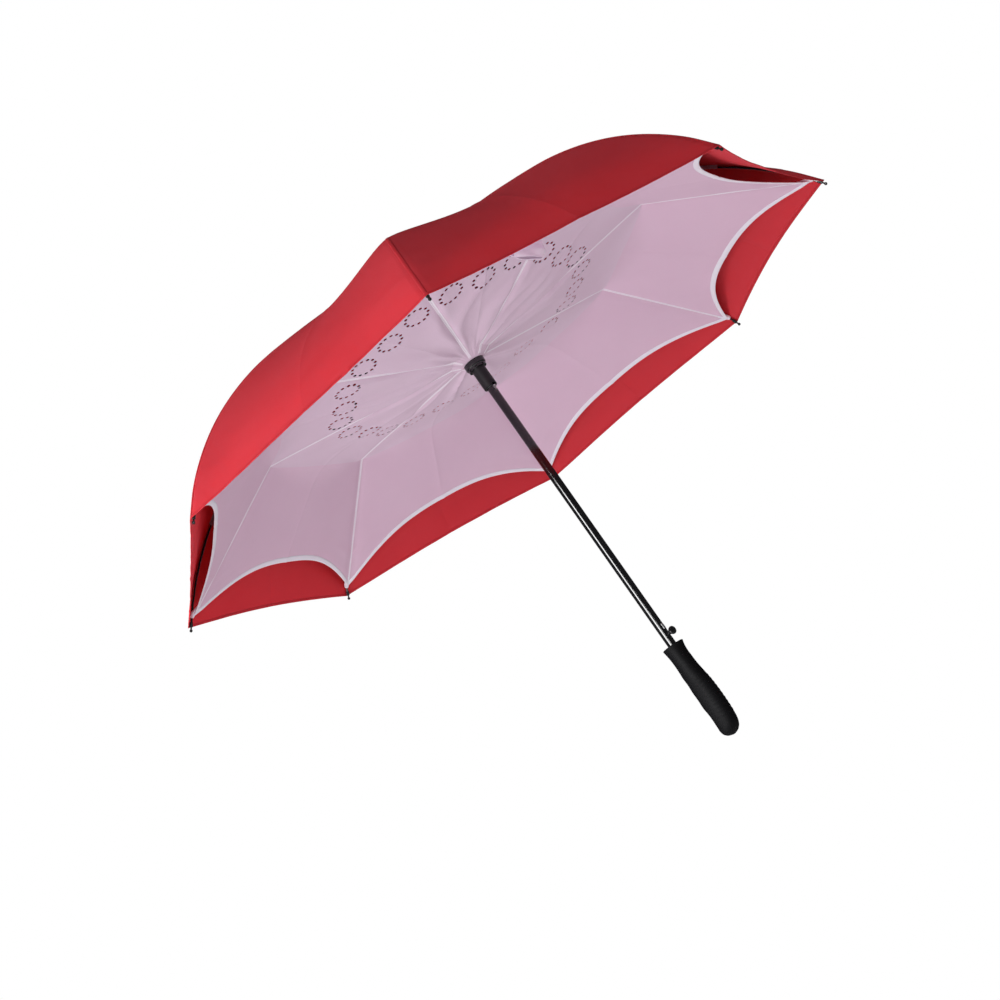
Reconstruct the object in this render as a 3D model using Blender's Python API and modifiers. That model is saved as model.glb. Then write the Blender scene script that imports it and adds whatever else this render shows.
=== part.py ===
"""An inverted umbrella: eight ribs, two canopies and a release button, modelled open.

The shaft stands on the Z axis and the origin is the middle of the grip. The rim plane holds the
ends of the rib tips. Rib 1 lies along +X, on the side of the release button, and the others follow
every 45 degrees. Each rib is a linkage in its own upright plane, written there as (radius, height):
a lower rib swings on the runner, a knee joint on its outer end carries the curved rod, and a strut
from the crown meets the knee joint beside the rod. Sliding the runner down the shaft folds the
canopy up around it, with the white lining outside.
"""

import math

import bmesh
import bpy
from mathutils import Matrix, Vector

OBJECT_NAME = "inverted_umbrella"

# Clearances, and the cloth of both canopies
GAP = 0.0003
OVERRUN = 0.002
WELD = 0.000002
CLOTH = 0.0004

# Linkage at rest: the runner pivot, the two knees and the crown pivot of a rib
RIBS = 8
RIM_HEIGHT = 0.4615
TIP_RADIUS = 0.530
TIP_DROP = 0.134
LOWER_KNEE_RADIUS = 0.315
LOWER_KNEE_RISE = 0.042
UPPER_KNEE_SETBACK = 0.022
UPPER_KNEE_RADIUS = LOWER_KNEE_RADIUS - UPPER_KNEE_SETBACK
UPPER_KNEE_RISE = 0.043
CROWN_RISE = 0.152
ROD_SAGITTA = 0.026
STRUT_SAGITTA = 0.007

# Shaft
SHAFT_RADIUS = 0.00625
SHAFT_WALL = 0.0007
SHAFT_INSERT = 0.1145
SHAFT_PAST_PIVOT = 0.0035
WINDOW_SIDE_ROOM = 0.0003
WINDOW_END_ROOM = 0.0008

# Handle: the grip's outline is a table of shares further down
GRIP_LENGTH = 0.139
GRIP_MOUTH_RADIUS = 0.0155
CORE_WALL = 0.00395
CORE_FLOOR = 0.0067
RIDGE_COUNT = 10
RIDGE_PITCH = 0.006
RIDGE_HEIGHT = 0.0006
RIDGE_START = 0.054
RIDGE_HALF_SPREAD = math.radians(62)
GRIP_SIDES = 20

# Release button, latch leaf and top catch
BUTTON_RISE = 0.0157
BUTTON_RADIUS = 0.0058
BUTTON_STEM_RADIUS = 0.0024
BUTTON_HEAD_START = 0.0088
BUTTON_HEAD_LENGTH = 0.0095
LEAF_THICKNESS = 0.0009
LEAF_WIDTH = 0.0028
LEAF_INSET = 0.00125
LATCH_RISE = 0.0083
LATCH_HEIGHT = 0.008
LATCH_REACH = 0.00155
LATCH_TAIL = 0.0065
CATCH_HEIGHT = 0.008
CATCH_REACH = 0.002
CATCH_DROP = 0.0005
CATCH_TAIL = 0.020
LEAF_PAST_TOOTH = 0.002

# Runner: the sleeve, its notched ring and the collar that clamps the lining
KEYWAY_ROOM = 0.0006
KEYWAY_SIDE_ROOM = 0.0009
KEYWAY_WALL = 0.00115
SLEEVE_NOTCH_WIDTH = 0.006
SLEEVE_NOTCH_HEIGHT = 0.003
SLEEVE_DROP = 0.032
SLOT_WALL = 0.0008
SLOT_ROOM = 0.0005
RING_RIM = 0.0015
RING_FLOOR = 0.0053
RING_TOP_RISE = 0.0035
RING_CHAMFER = 0.0007
COLLAR_HEIGHT = 0.012
COLLAR_RIM = 0.0005
COLLAR_FOOT_INSET = 0.002
COLLAR_ROUND = 0.003
COLLAR_NOTCH_WIDTH = 0.0035
COLLAR_NOTCH_HEIGHT = 0.0022
WIRE_RADIUS = 0.0007
HUB_STEPS = 32

# Crown and cap
CROWN_WALL = 0.0031
CROWN_RIM = 0.002
CROWN_ROOF = 0.0045
CROWN_SKIRT = 0.0075
STUB_RADIUS = 0.004
STUB_LENGTH = 0.010
CAP_HEIGHT = 0.0285
CAP_FLANGE_RADIUS = 0.012
CAP_FLANGE_HEIGHT = 0.0035
CAP_NECK_RADIUS = 0.0062
CAP_NUB_RADIUS = 0.005

# Lower rib: a channel that is open on top
RIB_WIDTH = 0.0036
RIB_HEIGHT = 0.0044
RIB_WALL = 0.0006
BLADE_THICKNESS = 0.0016
BLADE_LENGTH = 0.012
FORK_LENGTH = 0.008
EYE_SIDES = 8

# Knee joint, rod and tip
PIN_RADIUS = 0.001
RIVET_RADIUS = 0.0018
RIVET_HEAD = 0.0008
KNEE_BOSS_RADIUS = 0.003
ROD_RADIUS = 0.0015
ROD_STEPS = 9
SOCKET_WALL = 0.0011
SOCKET_BACK = 0.002
SOCKET_REACH = 0.022
SOCKET_FLOOR = 0.004
SOCKET_STEPS = 3
TIP_LENGTH = 0.014
TIP_SLEEVE_LENGTH = 0.007
TIP_SLEEVE_WALL = 0.0005
TIP_SEAT = 0.005
TIP_NECK_RADIUS = 0.0012
TIP_BALL_RADIUS = 0.0023
TIP_SIDES = 8

# Crown strut: flat bar beside the rib plane, set over to a thin eye at the crown
STRUT_HEIGHT = 0.0035
STRUT_THICKNESS = 0.0024
STRUT_EYE_RADIUS = 0.002
STRUT_BLADE_LENGTH = 0.012
STRUT_JOG = 0.004
STRUT_ROOM = 0.0004

# Opening spring round the shaft, between the runner and the crown
SPRING_WIRE_RADIUS = 0.0006
SPRING_ROOM = 0.00115
SPRING_TURNS = 12
SPRING_POINTS_A_TURN = 8

# Canopies
RED_CORNER_BACK = 0.009
WHITE_CORNER_BACK = 0.012
WHITE_DROP = 0.0032
WHITE_HUB_RUN = 0.0185
RED_RIM_LIFT = 0.005
RED_STRUT_LIFT = 0.0021
RED_SAG = 0.011
WHITE_INNER_SAG = 0.002
WHITE_SCALLOP_SAG = 0.0005
RED_COLUMNS = 4
WHITE_COLUMNS = 6

# Tie strap, sewn under the lining beside rib 1
STRAP_AZIMUTH = math.radians(-9)
STRAP_RADIUS = 0.232
STRAP_WIDTH = 0.022
STRAP_DROP = 0.052
STRAP_RETURN = 0.036
STRAP_LOOP_RADIUS = 0.0042
STRAP_THICKNESS = 0.0008
STRAP_WAVE = 0.0016
STRAP_POINTS = 22

# Grip outline: share of the length from the top, then the back, front and side half-widths as
# shares of the mouth's radius. The back faces +X, with the ridges and the palm swell.
GRIP_SHARES = (
    (0.0, 1.0, 1.0, 1.0),
    (0.045, 0.88, 0.955, 0.92),
    (0.11, 0.82, 0.90, 0.86),
    (0.18, 0.86, 0.87, 0.85),
    (0.245, 0.885, 0.89, 0.86),
    (0.305, 0.96, 0.92, 0.89),
    (0.395, 1.10, 0.84, 0.93),
    (0.475, 1.19, 0.885, 0.97),
    (0.55, 1.23, 0.83, 0.99),
    (0.65, 1.24, 0.87, 1.0),
    (0.73, 1.225, 0.755, 0.985),
    (0.80, 1.19, 0.77, 0.96),
    (0.865, 1.12, 0.85, 0.93),
    (0.925, 0.93, 0.90, 0.86),
    (0.965, 0.65, 0.74, 0.68),
    (0.99, 0.33, 0.40, 0.38),
    (1.0, 0.08, 0.10, 0.10),
)

# Button head outline: share of its length from the shaft side, share of its radius
BUTTON_SHARES = (
    (0.06, 0.45),
    (0.22, 0.55),
    (0.42, 0.74),
    (0.62, 0.93),
    (0.78, 1.0),
    (0.90, 0.95),
    (0.97, 0.74),
)

# Crown cap outline above its flange: share of the height left, share of the way from the neck's
# radius to the nub's
CAP_SHARES = ((0.12, 0.0), (0.55, 0.35), (0.90, 0.85), (1.0, 1.0))

# Red canopy along a strut: share of the strut, share of its sag between the ribs
RED_STRUT_SHARES = ((0.20, 0.15), (0.45, 0.45), (0.70, 0.75), (0.93, 1.0))
RED_ROD_SHARES = ((0.10, 0.95), (0.30, 0.8), (0.50, 0.45), (0.68, 0.15), (0.84, 0.0), (1.0, 0.0))
RED_RIM_FROM_SHARE = 0.55

# White lining: shares of the lower rib, and of the way from the knee to the rim
WHITE_RIB_SHARES = (0.40, 0.75)
WHITE_OUTER_SHARES = (0.28, 0.55, 0.80, 1.0)
SCALLOP_DEPTH_SHARE = 0.31
SCALLOP_POWER = 2.8

# Share of the lining's sag at the strap
STRAP_SAG_SHARE = 0.3

# Lengths worked out from the values above
GRIP_TOP = GRIP_LENGTH / 2
HALF_GORE = math.pi / RIBS
APOTHEM_SHARE = math.cos(HALF_GORE)
SHAFT_BORE = SHAFT_RADIUS - SHAFT_WALL
SLIDING_BORE = SHAFT_RADIUS + GAP
KEYWAY_RADIUS = SHAFT_RADIUS + CATCH_REACH + KEYWAY_ROOM
SLEEVE_RADIUS = KEYWAY_RADIUS + KEYWAY_WALL
RIB_EYE_RADIUS = RIB_HEIGHT / 2
RUNNER_SLOT_RADIUS = SLEEVE_RADIUS + SLOT_WALL
RUNNER_PIVOT_RADIUS = RUNNER_SLOT_RADIUS + SLOT_ROOM + RIB_EYE_RADIUS
CROWN_SLOT_RADIUS = SLIDING_BORE + CROWN_WALL
CROWN_PIVOT_RADIUS = CROWN_SLOT_RADIUS + SLOT_ROOM + STRUT_EYE_RADIUS
RING_RADIUS = RUNNER_PIVOT_RADIUS + RING_RIM
CROWN_RADIUS = CROWN_PIVOT_RADIUS + CROWN_RIM
SOCKET_RADIUS = ROD_RADIUS + GAP + SOCKET_WALL
TIP_SLEEVE_RADIUS = ROD_RADIUS + GAP + TIP_SLEEVE_WALL
KNEE_THICKNESS = RIB_WIDTH - 2 * RIB_WALL - 2 * GAP
RIVET_REACH = RIB_WIDTH / 2 + GAP + RIVET_HEAD
STRUT_NEAR = max(SOCKET_RADIUS, RIVET_REACH) + STRUT_ROOM
SLOT_WIDTH = BLADE_THICKNESS + 2 * GAP
LEAF_OUTER = SHAFT_BORE - LEAF_INSET
LEAF_INNER = LEAF_OUTER - LEAF_THICKNESS

KNEE_HEIGHT = RIM_HEIGHT + TIP_DROP
RUNNER_PIVOT = Vector((RUNNER_PIVOT_RADIUS, KNEE_HEIGHT - LOWER_KNEE_RISE))
LOWER_KNEE = Vector((LOWER_KNEE_RADIUS, KNEE_HEIGHT))
UPPER_KNEE = Vector((UPPER_KNEE_RADIUS, KNEE_HEIGHT + UPPER_KNEE_RISE))
TIP_END = Vector((TIP_RADIUS, RIM_HEIGHT))
CROWN_PIVOT = Vector((CROWN_PIVOT_RADIUS, RUNNER_PIVOT.y + CROWN_RISE))

RING_TOP = RUNNER_PIVOT.y + RING_TOP_RISE
SLOT_FLOOR = RUNNER_PIVOT.y - RIB_EYE_RADIUS - SLOT_ROOM
RING_BOTTOM = SLOT_FLOOR - RING_FLOOR
WHITE_HUB_HEIGHT = RING_BOTTOM - GAP - CLOTH / 2
COLLAR_TOP = RING_BOTTOM - 2 * GAP - CLOTH
COLLAR_BOTTOM = COLLAR_TOP - COLLAR_HEIGHT
SLEEVE_BOTTOM = COLLAR_BOTTOM - SLEEVE_DROP
COLLAR_RADIUS = RING_RADIUS + COLLAR_RIM
CROWN_CEILING = CROWN_PIVOT.y + STRUT_EYE_RADIUS + SLOT_ROOM
CROWN_TOP = CROWN_CEILING + CROWN_ROOF
CROWN_BOTTOM = CROWN_PIVOT.y - CROWN_SKIRT
SHAFT_TOP = CROWN_PIVOT.y + SHAFT_PAST_PIVOT
SHAFT_BOTTOM = GRIP_TOP - SHAFT_INSERT
RED_HUB_HEIGHT = CROWN_TOP + GAP + CLOTH / 2
CAP_BOTTOM = CROWN_TOP + 2 * GAP + CLOTH
CORE_RADIUS = SLIDING_BORE + CORE_WALL
CORE_BOTTOM = SHAFT_BOTTOM - GAP - CORE_FLOOR
BUTTON_HEIGHT = GRIP_TOP + BUTTON_RISE
LATCH_BOTTOM = BUTTON_HEIGHT + LATCH_RISE
CATCH_TOP = SLEEVE_BOTTOM - CATCH_DROP

RIB_LENGTH = (LOWER_KNEE - RUNNER_PIVOT).length
STRUT_LENGTH = (UPPER_KNEE - CROWN_PIVOT).length
ROD_CHORD = (TIP_END - UPPER_KNEE).length
ROD_BEND_RADIUS = (ROD_CHORD**2 / 4 + ROD_SAGITTA**2) / (2 * ROD_SAGITTA)
ROD_HALF_ANGLE = math.asin(ROD_CHORD / (2 * ROD_BEND_RADIUS))
ROD_LENGTH = 2 * ROD_BEND_RADIUS * ROD_HALF_ANGLE
RED_LIFT = SOCKET_RADIUS + SOCKET_REACH**2 / (2 * ROD_BEND_RADIUS) + GAP + CLOTH / 2

# Finishes: colour, roughness and metallic value of each sub-part
FINISHES = {
    "shaft": ((0.012, 0.012, 0.013), 0.22, 0.6),
    "crown": ((0.015, 0.015, 0.016), 0.45, 0.0),
    "crown_wire": ((0.45, 0.45, 0.46), 0.35, 1.0),
    "crown_cap": ((0.012, 0.012, 0.013), 0.35, 0.0),
    "handle_core": ((0.02, 0.02, 0.021), 0.6, 0.0),
    "handle_grip": ((0.013, 0.013, 0.014), 0.62, 0.0),
    "outer_canopy": ((0.60, 0.055, 0.075), 0.75, 0.0),
    "inner_canopy": ((0.62, 0.50, 0.62), 0.8, 0.0),
    "opening_spring": ((0.5, 0.5, 0.51), 0.3, 1.0),
    "runner": ((0.012, 0.012, 0.013), 0.35, 0.0),
    "runner_collar": ((0.012, 0.012, 0.013), 0.3, 0.0),
    "runner_wire": ((0.45, 0.45, 0.46), 0.35, 1.0),
    "lower_rib": ((0.02, 0.02, 0.021), 0.35, 0.5),
    "knee_joint": ((0.014, 0.014, 0.015), 0.5, 0.0),
    "outer_rib": ((0.015, 0.015, 0.016), 0.3, 0.0),
    "rib_tip": ((0.014, 0.014, 0.015), 0.35, 0.0),
    "crown_strut": ((0.02, 0.02, 0.021), 0.35, 0.5),
    "release_button": ((0.013, 0.013, 0.014), 0.35, 0.0),
    "latch_leaf": ((0.6, 0.6, 0.61), 0.25, 1.0),
    "top_catch": ((0.3, 0.3, 0.31), 0.3, 1.0),
    "tie_strap": ((0.66, 0.58, 0.68), 0.8, 0.0),
}
SHARP_ANGLE = math.radians(32)


def clear_scene():
    for item in list(bpy.data.objects):
        bpy.data.objects.remove(item, do_unlink=True)


def new_collection(name):
    made = bpy.data.collections.new(name)
    bpy.context.scene.collection.children.link(made)
    return made


clear_scene()
PARTS = new_collection(OBJECT_NAME)
CUTTERS = new_collection("cutters")


def finish(piece):
    """The material of one kind of sub-part."""
    found = bpy.data.materials.get(piece)
    if found:
        return found
    colour, roughness, metallic = FINISHES[piece]
    made = bpy.data.materials.new(piece)
    made.use_nodes = True
    made.diffuse_color = (*colour, 1)
    shader = made.node_tree.nodes["Principled BSDF"]
    shader.inputs["Base Color"].default_value = (*colour, 1)
    shader.inputs["Roughness"].default_value = roughness
    shader.inputs["Metallic"].default_value = metallic
    return made


def add_cutter(name, mesh, matrix=None):
    """A helper object that only cuts or joins, left out of renders."""
    made = bpy.data.objects.new(name, mesh)
    made.matrix_world = matrix or Matrix.Identity(4)
    made.hide_render = True
    made.display_type = "WIRE"
    CUTTERS.objects.link(made)
    return made


def tidied(mesh):
    """Welds loose caps and turns every face outward."""
    work = bmesh.new()
    work.from_mesh(mesh)
    bmesh.ops.remove_doubles(work, verts=work.verts, dist=WELD)
    bmesh.ops.recalc_face_normals(work, faces=work.faces)
    work.to_mesh(mesh)
    work.free()
    return mesh


def evaluated_mesh(item):
    graph = bpy.context.evaluated_depsgraph_get()
    return bpy.data.meshes.new_from_object(item.evaluated_get(graph))


def shape_from_curve(name, curve, matrix):
    """A mesh helper from a curve, with its caps welded and its matrix kept."""
    guide = bpy.data.objects.new(name + "_guide", curve)
    CUTTERS.objects.link(guide)
    bpy.context.view_layer.update()
    mesh = tidied(evaluated_mesh(guide))
    bpy.data.objects.remove(guide, do_unlink=True)
    return add_cutter(name, mesh, matrix)


def turned(name, profile, steps, matrix=None, closed=True):
    """A profile of (radius, height) points, running down its outer side, turned about Z."""
    mesh = bpy.data.meshes.new(name)
    points = [(radius, 0, height) for radius, height in profile]
    edges = [(index, index + 1) for index in range(len(points) - 1)]
    if closed:
        edges.append((len(points) - 1, 0))
    mesh.from_pydata(points, edges, [])
    made = add_cutter(name, mesh, matrix)
    screw = made.modifiers.new("turn", "SCREW")
    screw.steps = steps
    screw.render_steps = steps
    screw.use_merge_vertices = True
    screw.merge_threshold = WELD
    return made


def box(name, size, middle, matrix=None):
    """A box of the given size round its middle."""
    work = bmesh.new()
    bmesh.ops.create_cube(work, size=1)
    bmesh.ops.scale(work, vec=size, verts=work.verts)
    bmesh.ops.translate(work, vec=middle, verts=work.verts)
    mesh = bpy.data.meshes.new(name)
    work.to_mesh(mesh)
    work.free()
    return add_cutter(name, mesh, matrix)


def cylinder(name, radius, length, matrix, sides):
    """A cylinder of the given length, centred on its matrix's Z axis."""
    work = bmesh.new()
    bmesh.ops.create_cone(
        work, cap_ends=True, segments=sides, radius1=radius, radius2=radius, depth=length
    )
    mesh = bpy.data.meshes.new(name)
    work.to_mesh(mesh)
    work.free()
    return add_cutter(name, mesh, matrix)


def plate(name, outline, thickness, middle=0):
    """An outline of (x, z) points as a flat plate, its thickness centred on y = middle."""
    curve = bpy.data.curves.new(name, "CURVE")
    curve.dimensions = "2D"
    curve.fill_mode = "BOTH"
    curve.extrude = thickness / 2
    spline = curve.splines.new("POLY")
    spline.points.add(len(outline) - 1)
    for point, (along, up) in zip(spline.points, outline):
        point.co = (along, up, 0, 1)
    spline.use_cyclic_u = True
    upright = Matrix.Translation((0, middle, 0)) @ Matrix.Rotation(math.pi / 2, 4, "X")
    return shape_from_curve(name, curve, upright)


def wire(name, points, radius, resolution):
    """A round bar along the points."""
    curve = bpy.data.curves.new(name, "CURVE")
    curve.dimensions = "3D"
    curve.fill_mode = "FULL"
    curve.bevel_depth = radius
    curve.bevel_resolution = resolution
    curve.use_fill_caps = True
    spline = curve.splines.new("POLY")
    spline.points.add(len(points) - 1)
    for point, place in zip(spline.points, points):
        point.co = (*place, 1)
    return shape_from_curve(name, curve, Matrix.Identity(4))


def loft(name, rings):
    """A closed skin over rings that have as many points as each other."""
    sides = len(rings[0])
    points = [point for ring in rings for point in ring]
    faces = []
    for row in range(len(rings) - 1):
        for side in range(sides):
            here = row * sides + side
            beside = row * sides + (side + 1) % sides
            faces.append((here, beside, beside + sides, here + sides))
    last = (len(rings) - 1) * sides
    faces.append(tuple(range(sides)))
    faces.append(tuple(last + side for side in range(sides)))
    mesh = bpy.data.meshes.new(name)
    mesh.from_pydata(points, [], faces)
    return add_cutter(name, tidied(mesh))


def combined(item, others, operation):
    """Cuts or joins the helpers into the item, one Boolean each."""
    for other in others:
        change = item.modifiers.new(other.name, "BOOLEAN")
        change.operation = operation
        change.solver = "EXACT"
        change.object = other
    return item


def cut(item, *others):
    return combined(item, others, "DIFFERENCE")


def joined(item, *others):
    return combined(item, others, "UNION")


def solid_mesh(item, kind):
    """The item's final mesh in its own axes, shaded smooth, with the material of its kind."""
    bpy.context.view_layer.update()
    mesh = evaluated_mesh(item)
    mesh.transform(item.matrix_world)
    mesh = tidied(mesh)
    mesh.name = kind
    mesh.materials.clear()
    mesh.materials.append(finish(kind))
    mesh.shade_smooth()
    mesh.set_sharp_from_angle(angle=SHARP_ANGLE)
    bpy.data.objects.remove(item, do_unlink=True)
    return mesh


def place(name, mesh, location=(0, 0, 0), turn=(0, 0, 0)):
    """A sub-part: its mesh at a location, turned by Euler angles."""
    made = bpy.data.objects.new(name, mesh)
    made.location = location
    made.rotation_euler = turn
    PARTS.objects.link(made)
    return made


def place_round(kind, mesh, pivot, pitch=0):
    """One copy of a rib's piece in each rib plane, with its origin on its pivot."""
    for index in range(RIBS):
        azimuth = index * 2 * HALF_GORE
        at = (pivot.x * math.cos(azimuth), pivot.x * math.sin(azimuth), pivot.y)
        place(f"{kind}_{index + 1}", mesh, at, (0, -pitch, azimuth))


def angle_of(vector):
    return math.atan2(vector.y, vector.x)


def heading(angle):
    return Vector((math.cos(angle), math.sin(angle)))


def arc_points(centre, radius, start, end, count):
    """Points on an arc from one angle to another, both ends included."""
    turns = [start + (end - start) * step / (count - 1) for step in range(count)]
    return [(centre[0] + radius * math.cos(a), centre[1] + radius * math.sin(a)) for a in turns]


def rod_point(share):
    """A point of the rod's arc in the rib plane, and the rod's direction there."""
    chord_angle = angle_of(TIP_END - UPPER_KNEE)
    lean = ROD_HALF_ANGLE * (1 - 2 * share)
    along = ROD_BEND_RADIUS * (math.sin(ROD_HALF_ANGLE) - math.sin(lean))
    above = ROD_BEND_RADIUS * (math.cos(lean) - math.cos(ROD_HALF_ANGLE))
    chord = heading(chord_angle)
    rise = heading(chord_angle + math.pi / 2)
    return UPPER_KNEE + chord * along + rise * above, chord_angle + lean


def rod_run(start, end, steps):
    """Points along the rod from one distance to another past the upper knee, round the lower knee."""
    points = []
    for step in range(steps + 1):
        at, _ = rod_point((start + (end - start) * step / steps) / ROD_LENGTH)
        points.append((at.x - LOWER_KNEE.x, 0, at.y - LOWER_KNEE.y))
    return points


def strut_rise(share):
    """How far the bowed strut stands above its chord."""
    return STRUT_SAGITTA * 4 * share * (1 - share)


def strut_point(share):
    """A point of the strut's middle line in the rib plane, and its direction there."""
    chord = UPPER_KNEE - CROWN_PIVOT
    rise = heading(angle_of(chord) + math.pi / 2)
    slope = math.atan(4 * STRUT_SAGITTA * (1 - 2 * share) / STRUT_LENGTH)
    return CROWN_PIVOT + chord * share + rise * strut_rise(share), angle_of(chord) + slope


def side_matrix(middle=0, at=(0, 0)):
    """The axes of a cylinder that lies across a rib plane."""
    across = Matrix.Rotation(math.pi / 2, 4, "X")
    return Matrix.Translation((at[0], middle, at[1])) @ across


def shaft():
    profile = [
        (SHAFT_RADIUS, SHAFT_TOP),
        (SHAFT_RADIUS, SHAFT_BOTTOM),
        (SHAFT_BORE, SHAFT_BOTTOM),
        (SHAFT_BORE, SHAFT_TOP),
    ]
    tube = turned("shaft", profile, HUB_STEPS)
    width = LEAF_WIDTH + 2 * WINDOW_SIDE_ROOM
    latch_window = LATCH_HEIGHT + 2 * WINDOW_END_ROOM
    catch_window = CATCH_HEIGHT + 2 * WINDOW_END_ROOM
    latch_middle = LATCH_BOTTOM + LATCH_HEIGHT / 2
    catch_middle = CATCH_TOP - CATCH_HEIGHT / 2
    windows = [
        box("latch_window", (SHAFT_RADIUS, width, latch_window), (SHAFT_RADIUS, 0, latch_middle)),
        box("catch_window", (SHAFT_RADIUS, width, catch_window), (SHAFT_RADIUS, 0, catch_middle)),
    ]
    sideways = Matrix.Rotation(math.pi / 2, 4, "Y")
    sideways.translation = (SHAFT_RADIUS, 0, BUTTON_HEIGHT)
    hole = cylinder("button_hole", BUTTON_STEM_RADIUS + GAP, SHAFT_RADIUS, sideways, 20)
    place("shaft", solid_mesh(cut(tube, *windows, hole), "shaft"))


def grip_widths(share):
    """Back, front and side half-widths at a share of the length, on a smooth curve."""
    rows = GRIP_SHARES
    index = max(i for i in range(len(rows) - 1) if rows[i][0] <= share)
    low, high = rows[index], rows[index + 1]
    before, after = rows[max(index - 1, 0)], rows[min(index + 2, len(rows) - 1)]
    span = high[0] - low[0]
    t = (share - low[0]) / span
    widths = []
    for column in (1, 2, 3):
        rate_low = (high[column] - before[column]) / (high[0] - before[0]) * span
        rate_high = (after[column] - low[column]) / (after[0] - low[0]) * span
        start = low[column] * (2 * t**3 - 3 * t**2 + 1) + rate_low * (t**3 - 2 * t**2 + t)
        end = high[column] * (3 * t**2 - 2 * t**3) + rate_high * (t**3 - t**2)
        widths.append((start + end) * GRIP_MOUTH_RADIUS)
    return widths


def grip_ring(share, lift):
    """One section of the grip, with the ridge's lift on its back."""
    back, front, side = grip_widths(share)
    height = GRIP_TOP - share * GRIP_LENGTH
    ring = []
    for step in range(GRIP_SIDES):
        angle = 2 * math.pi * step / GRIP_SIDES
        turn = abs(math.remainder(angle, 2 * math.pi)) / RIDGE_HALF_SPREAD
        swell = lift * max(0, 1 - turn**2)
        reach = back + swell if math.cos(angle) > 0 else front
        ring.append((reach * math.cos(angle), (side + swell) * math.sin(angle), height))
    return ring


def handle_grip():
    """The rubber grip: a loft with a palm swell and fine finger ridges, bored for its core."""
    ridge_steps = [RIDGE_START + RIDGE_PITCH * step / 2 for step in range(2 * RIDGE_COUNT + 1)]
    first, last = ridge_steps[0] / GRIP_LENGTH, ridge_steps[-1] / GRIP_LENGTH
    stations = []
    for index, step in enumerate(ridge_steps):
        stations.append((step / GRIP_LENGTH, RIDGE_HEIGHT * (index % 2)))
    margin = RIDGE_PITCH / GRIP_LENGTH / 2
    for share, *_ in GRIP_SHARES:
        if share < first - margin or share > last + margin:
            stations.append((share, 0))
    grip = loft("grip", [grip_ring(share, lift) for share, lift in sorted(stations)])
    bore_bottom = CORE_BOTTOM - GAP
    length = GRIP_TOP + OVERRUN - bore_bottom
    middle = Matrix.Translation((0, 0, bore_bottom + length / 2))
    bore = cylinder("grip_bore", CORE_RADIUS + GAP, length, middle, HUB_STEPS)
    place("handle_grip", solid_mesh(cut(grip, bore), "handle_grip"))


def handle_core():
    profile = [
        (CORE_RADIUS, GRIP_TOP),
        (CORE_RADIUS, CORE_BOTTOM),
        (0, CORE_BOTTOM),
        (0, SHAFT_BOTTOM - GAP),
        (SLIDING_BORE, SHAFT_BOTTOM - GAP),
        (SLIDING_BORE, GRIP_TOP),
    ]
    core = turned("core", profile, HUB_STEPS)
    place("handle_core", solid_mesh(core, "handle_core"))


def slots(name, width, inner, outer, bottom, top):
    """Radial slots, one in each rib plane."""
    made = []
    size = (outer - inner, width, top - bottom)
    for index in range(RIBS):
        turn = Matrix.Rotation(index * 2 * HALF_GORE, 4, "Z")
        middle = ((inner + outer) / 2, 0, (bottom + top) / 2)
        made.append(box(f"{name}_{index + 1}", size, middle, turn))
    return made


def groove(name, inner, outer, height):
    """An open groove that lets a wire ring in from outside."""
    half = WIRE_RADIUS + GAP
    low, high = height - half, height + half
    profile = [(outer, high), (outer, low), (inner, low), (inner, high)]
    return turned(name, profile, HUB_STEPS)


def runner():
    """The sleeve with its keyway and foot notch, and the ring that holds the ribs."""
    profile = [
        (RING_RADIUS - RING_CHAMFER, RING_TOP),
        (RING_RADIUS, RING_TOP - RING_CHAMFER),
        (RING_RADIUS, RING_BOTTOM),
        (SLEEVE_RADIUS, RING_BOTTOM),
        (SLEEVE_RADIUS, SLEEVE_BOTTOM + RING_CHAMFER),
        (SLEEVE_RADIUS - RING_CHAMFER, SLEEVE_BOTTOM),
        (SLIDING_BORE, SLEEVE_BOTTOM),
        (SLIDING_BORE, RING_TOP),
    ]
    body = turned("runner", profile, HUB_STEPS)
    outer = RING_RADIUS + OVERRUN
    high = RING_TOP + OVERRUN
    rib_slots = slots("rib_slot", SLOT_WIDTH, RUNNER_SLOT_RADIUS, outer, SLOT_FLOOR, high)
    groove_inner = RUNNER_PIVOT_RADIUS - WIRE_RADIUS - GAP
    wire_groove = groove("rib_wire_groove", groove_inner, outer, RUNNER_PIVOT.y)
    height = RING_TOP - SLEEVE_BOTTOM + 2 * OVERRUN
    keyway_width = LEAF_WIDTH + 2 * KEYWAY_SIDE_ROOM
    keyway_middle = (KEYWAY_RADIUS / 2, 0, (RING_TOP + SLEEVE_BOTTOM) / 2)
    keyway = box("keyway", (KEYWAY_RADIUS, keyway_width, height), keyway_middle)
    notch_size = (SLEEVE_RADIUS + OVERRUN, SLEEVE_NOTCH_WIDTH, 2 * SLEEVE_NOTCH_HEIGHT)
    notch = box("sleeve_notch", notch_size, (notch_size[0] / 2, 0, SLEEVE_BOTTOM))
    place("runner", solid_mesh(cut(body, *rib_slots, wire_groove, keyway, notch), "runner"))


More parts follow.
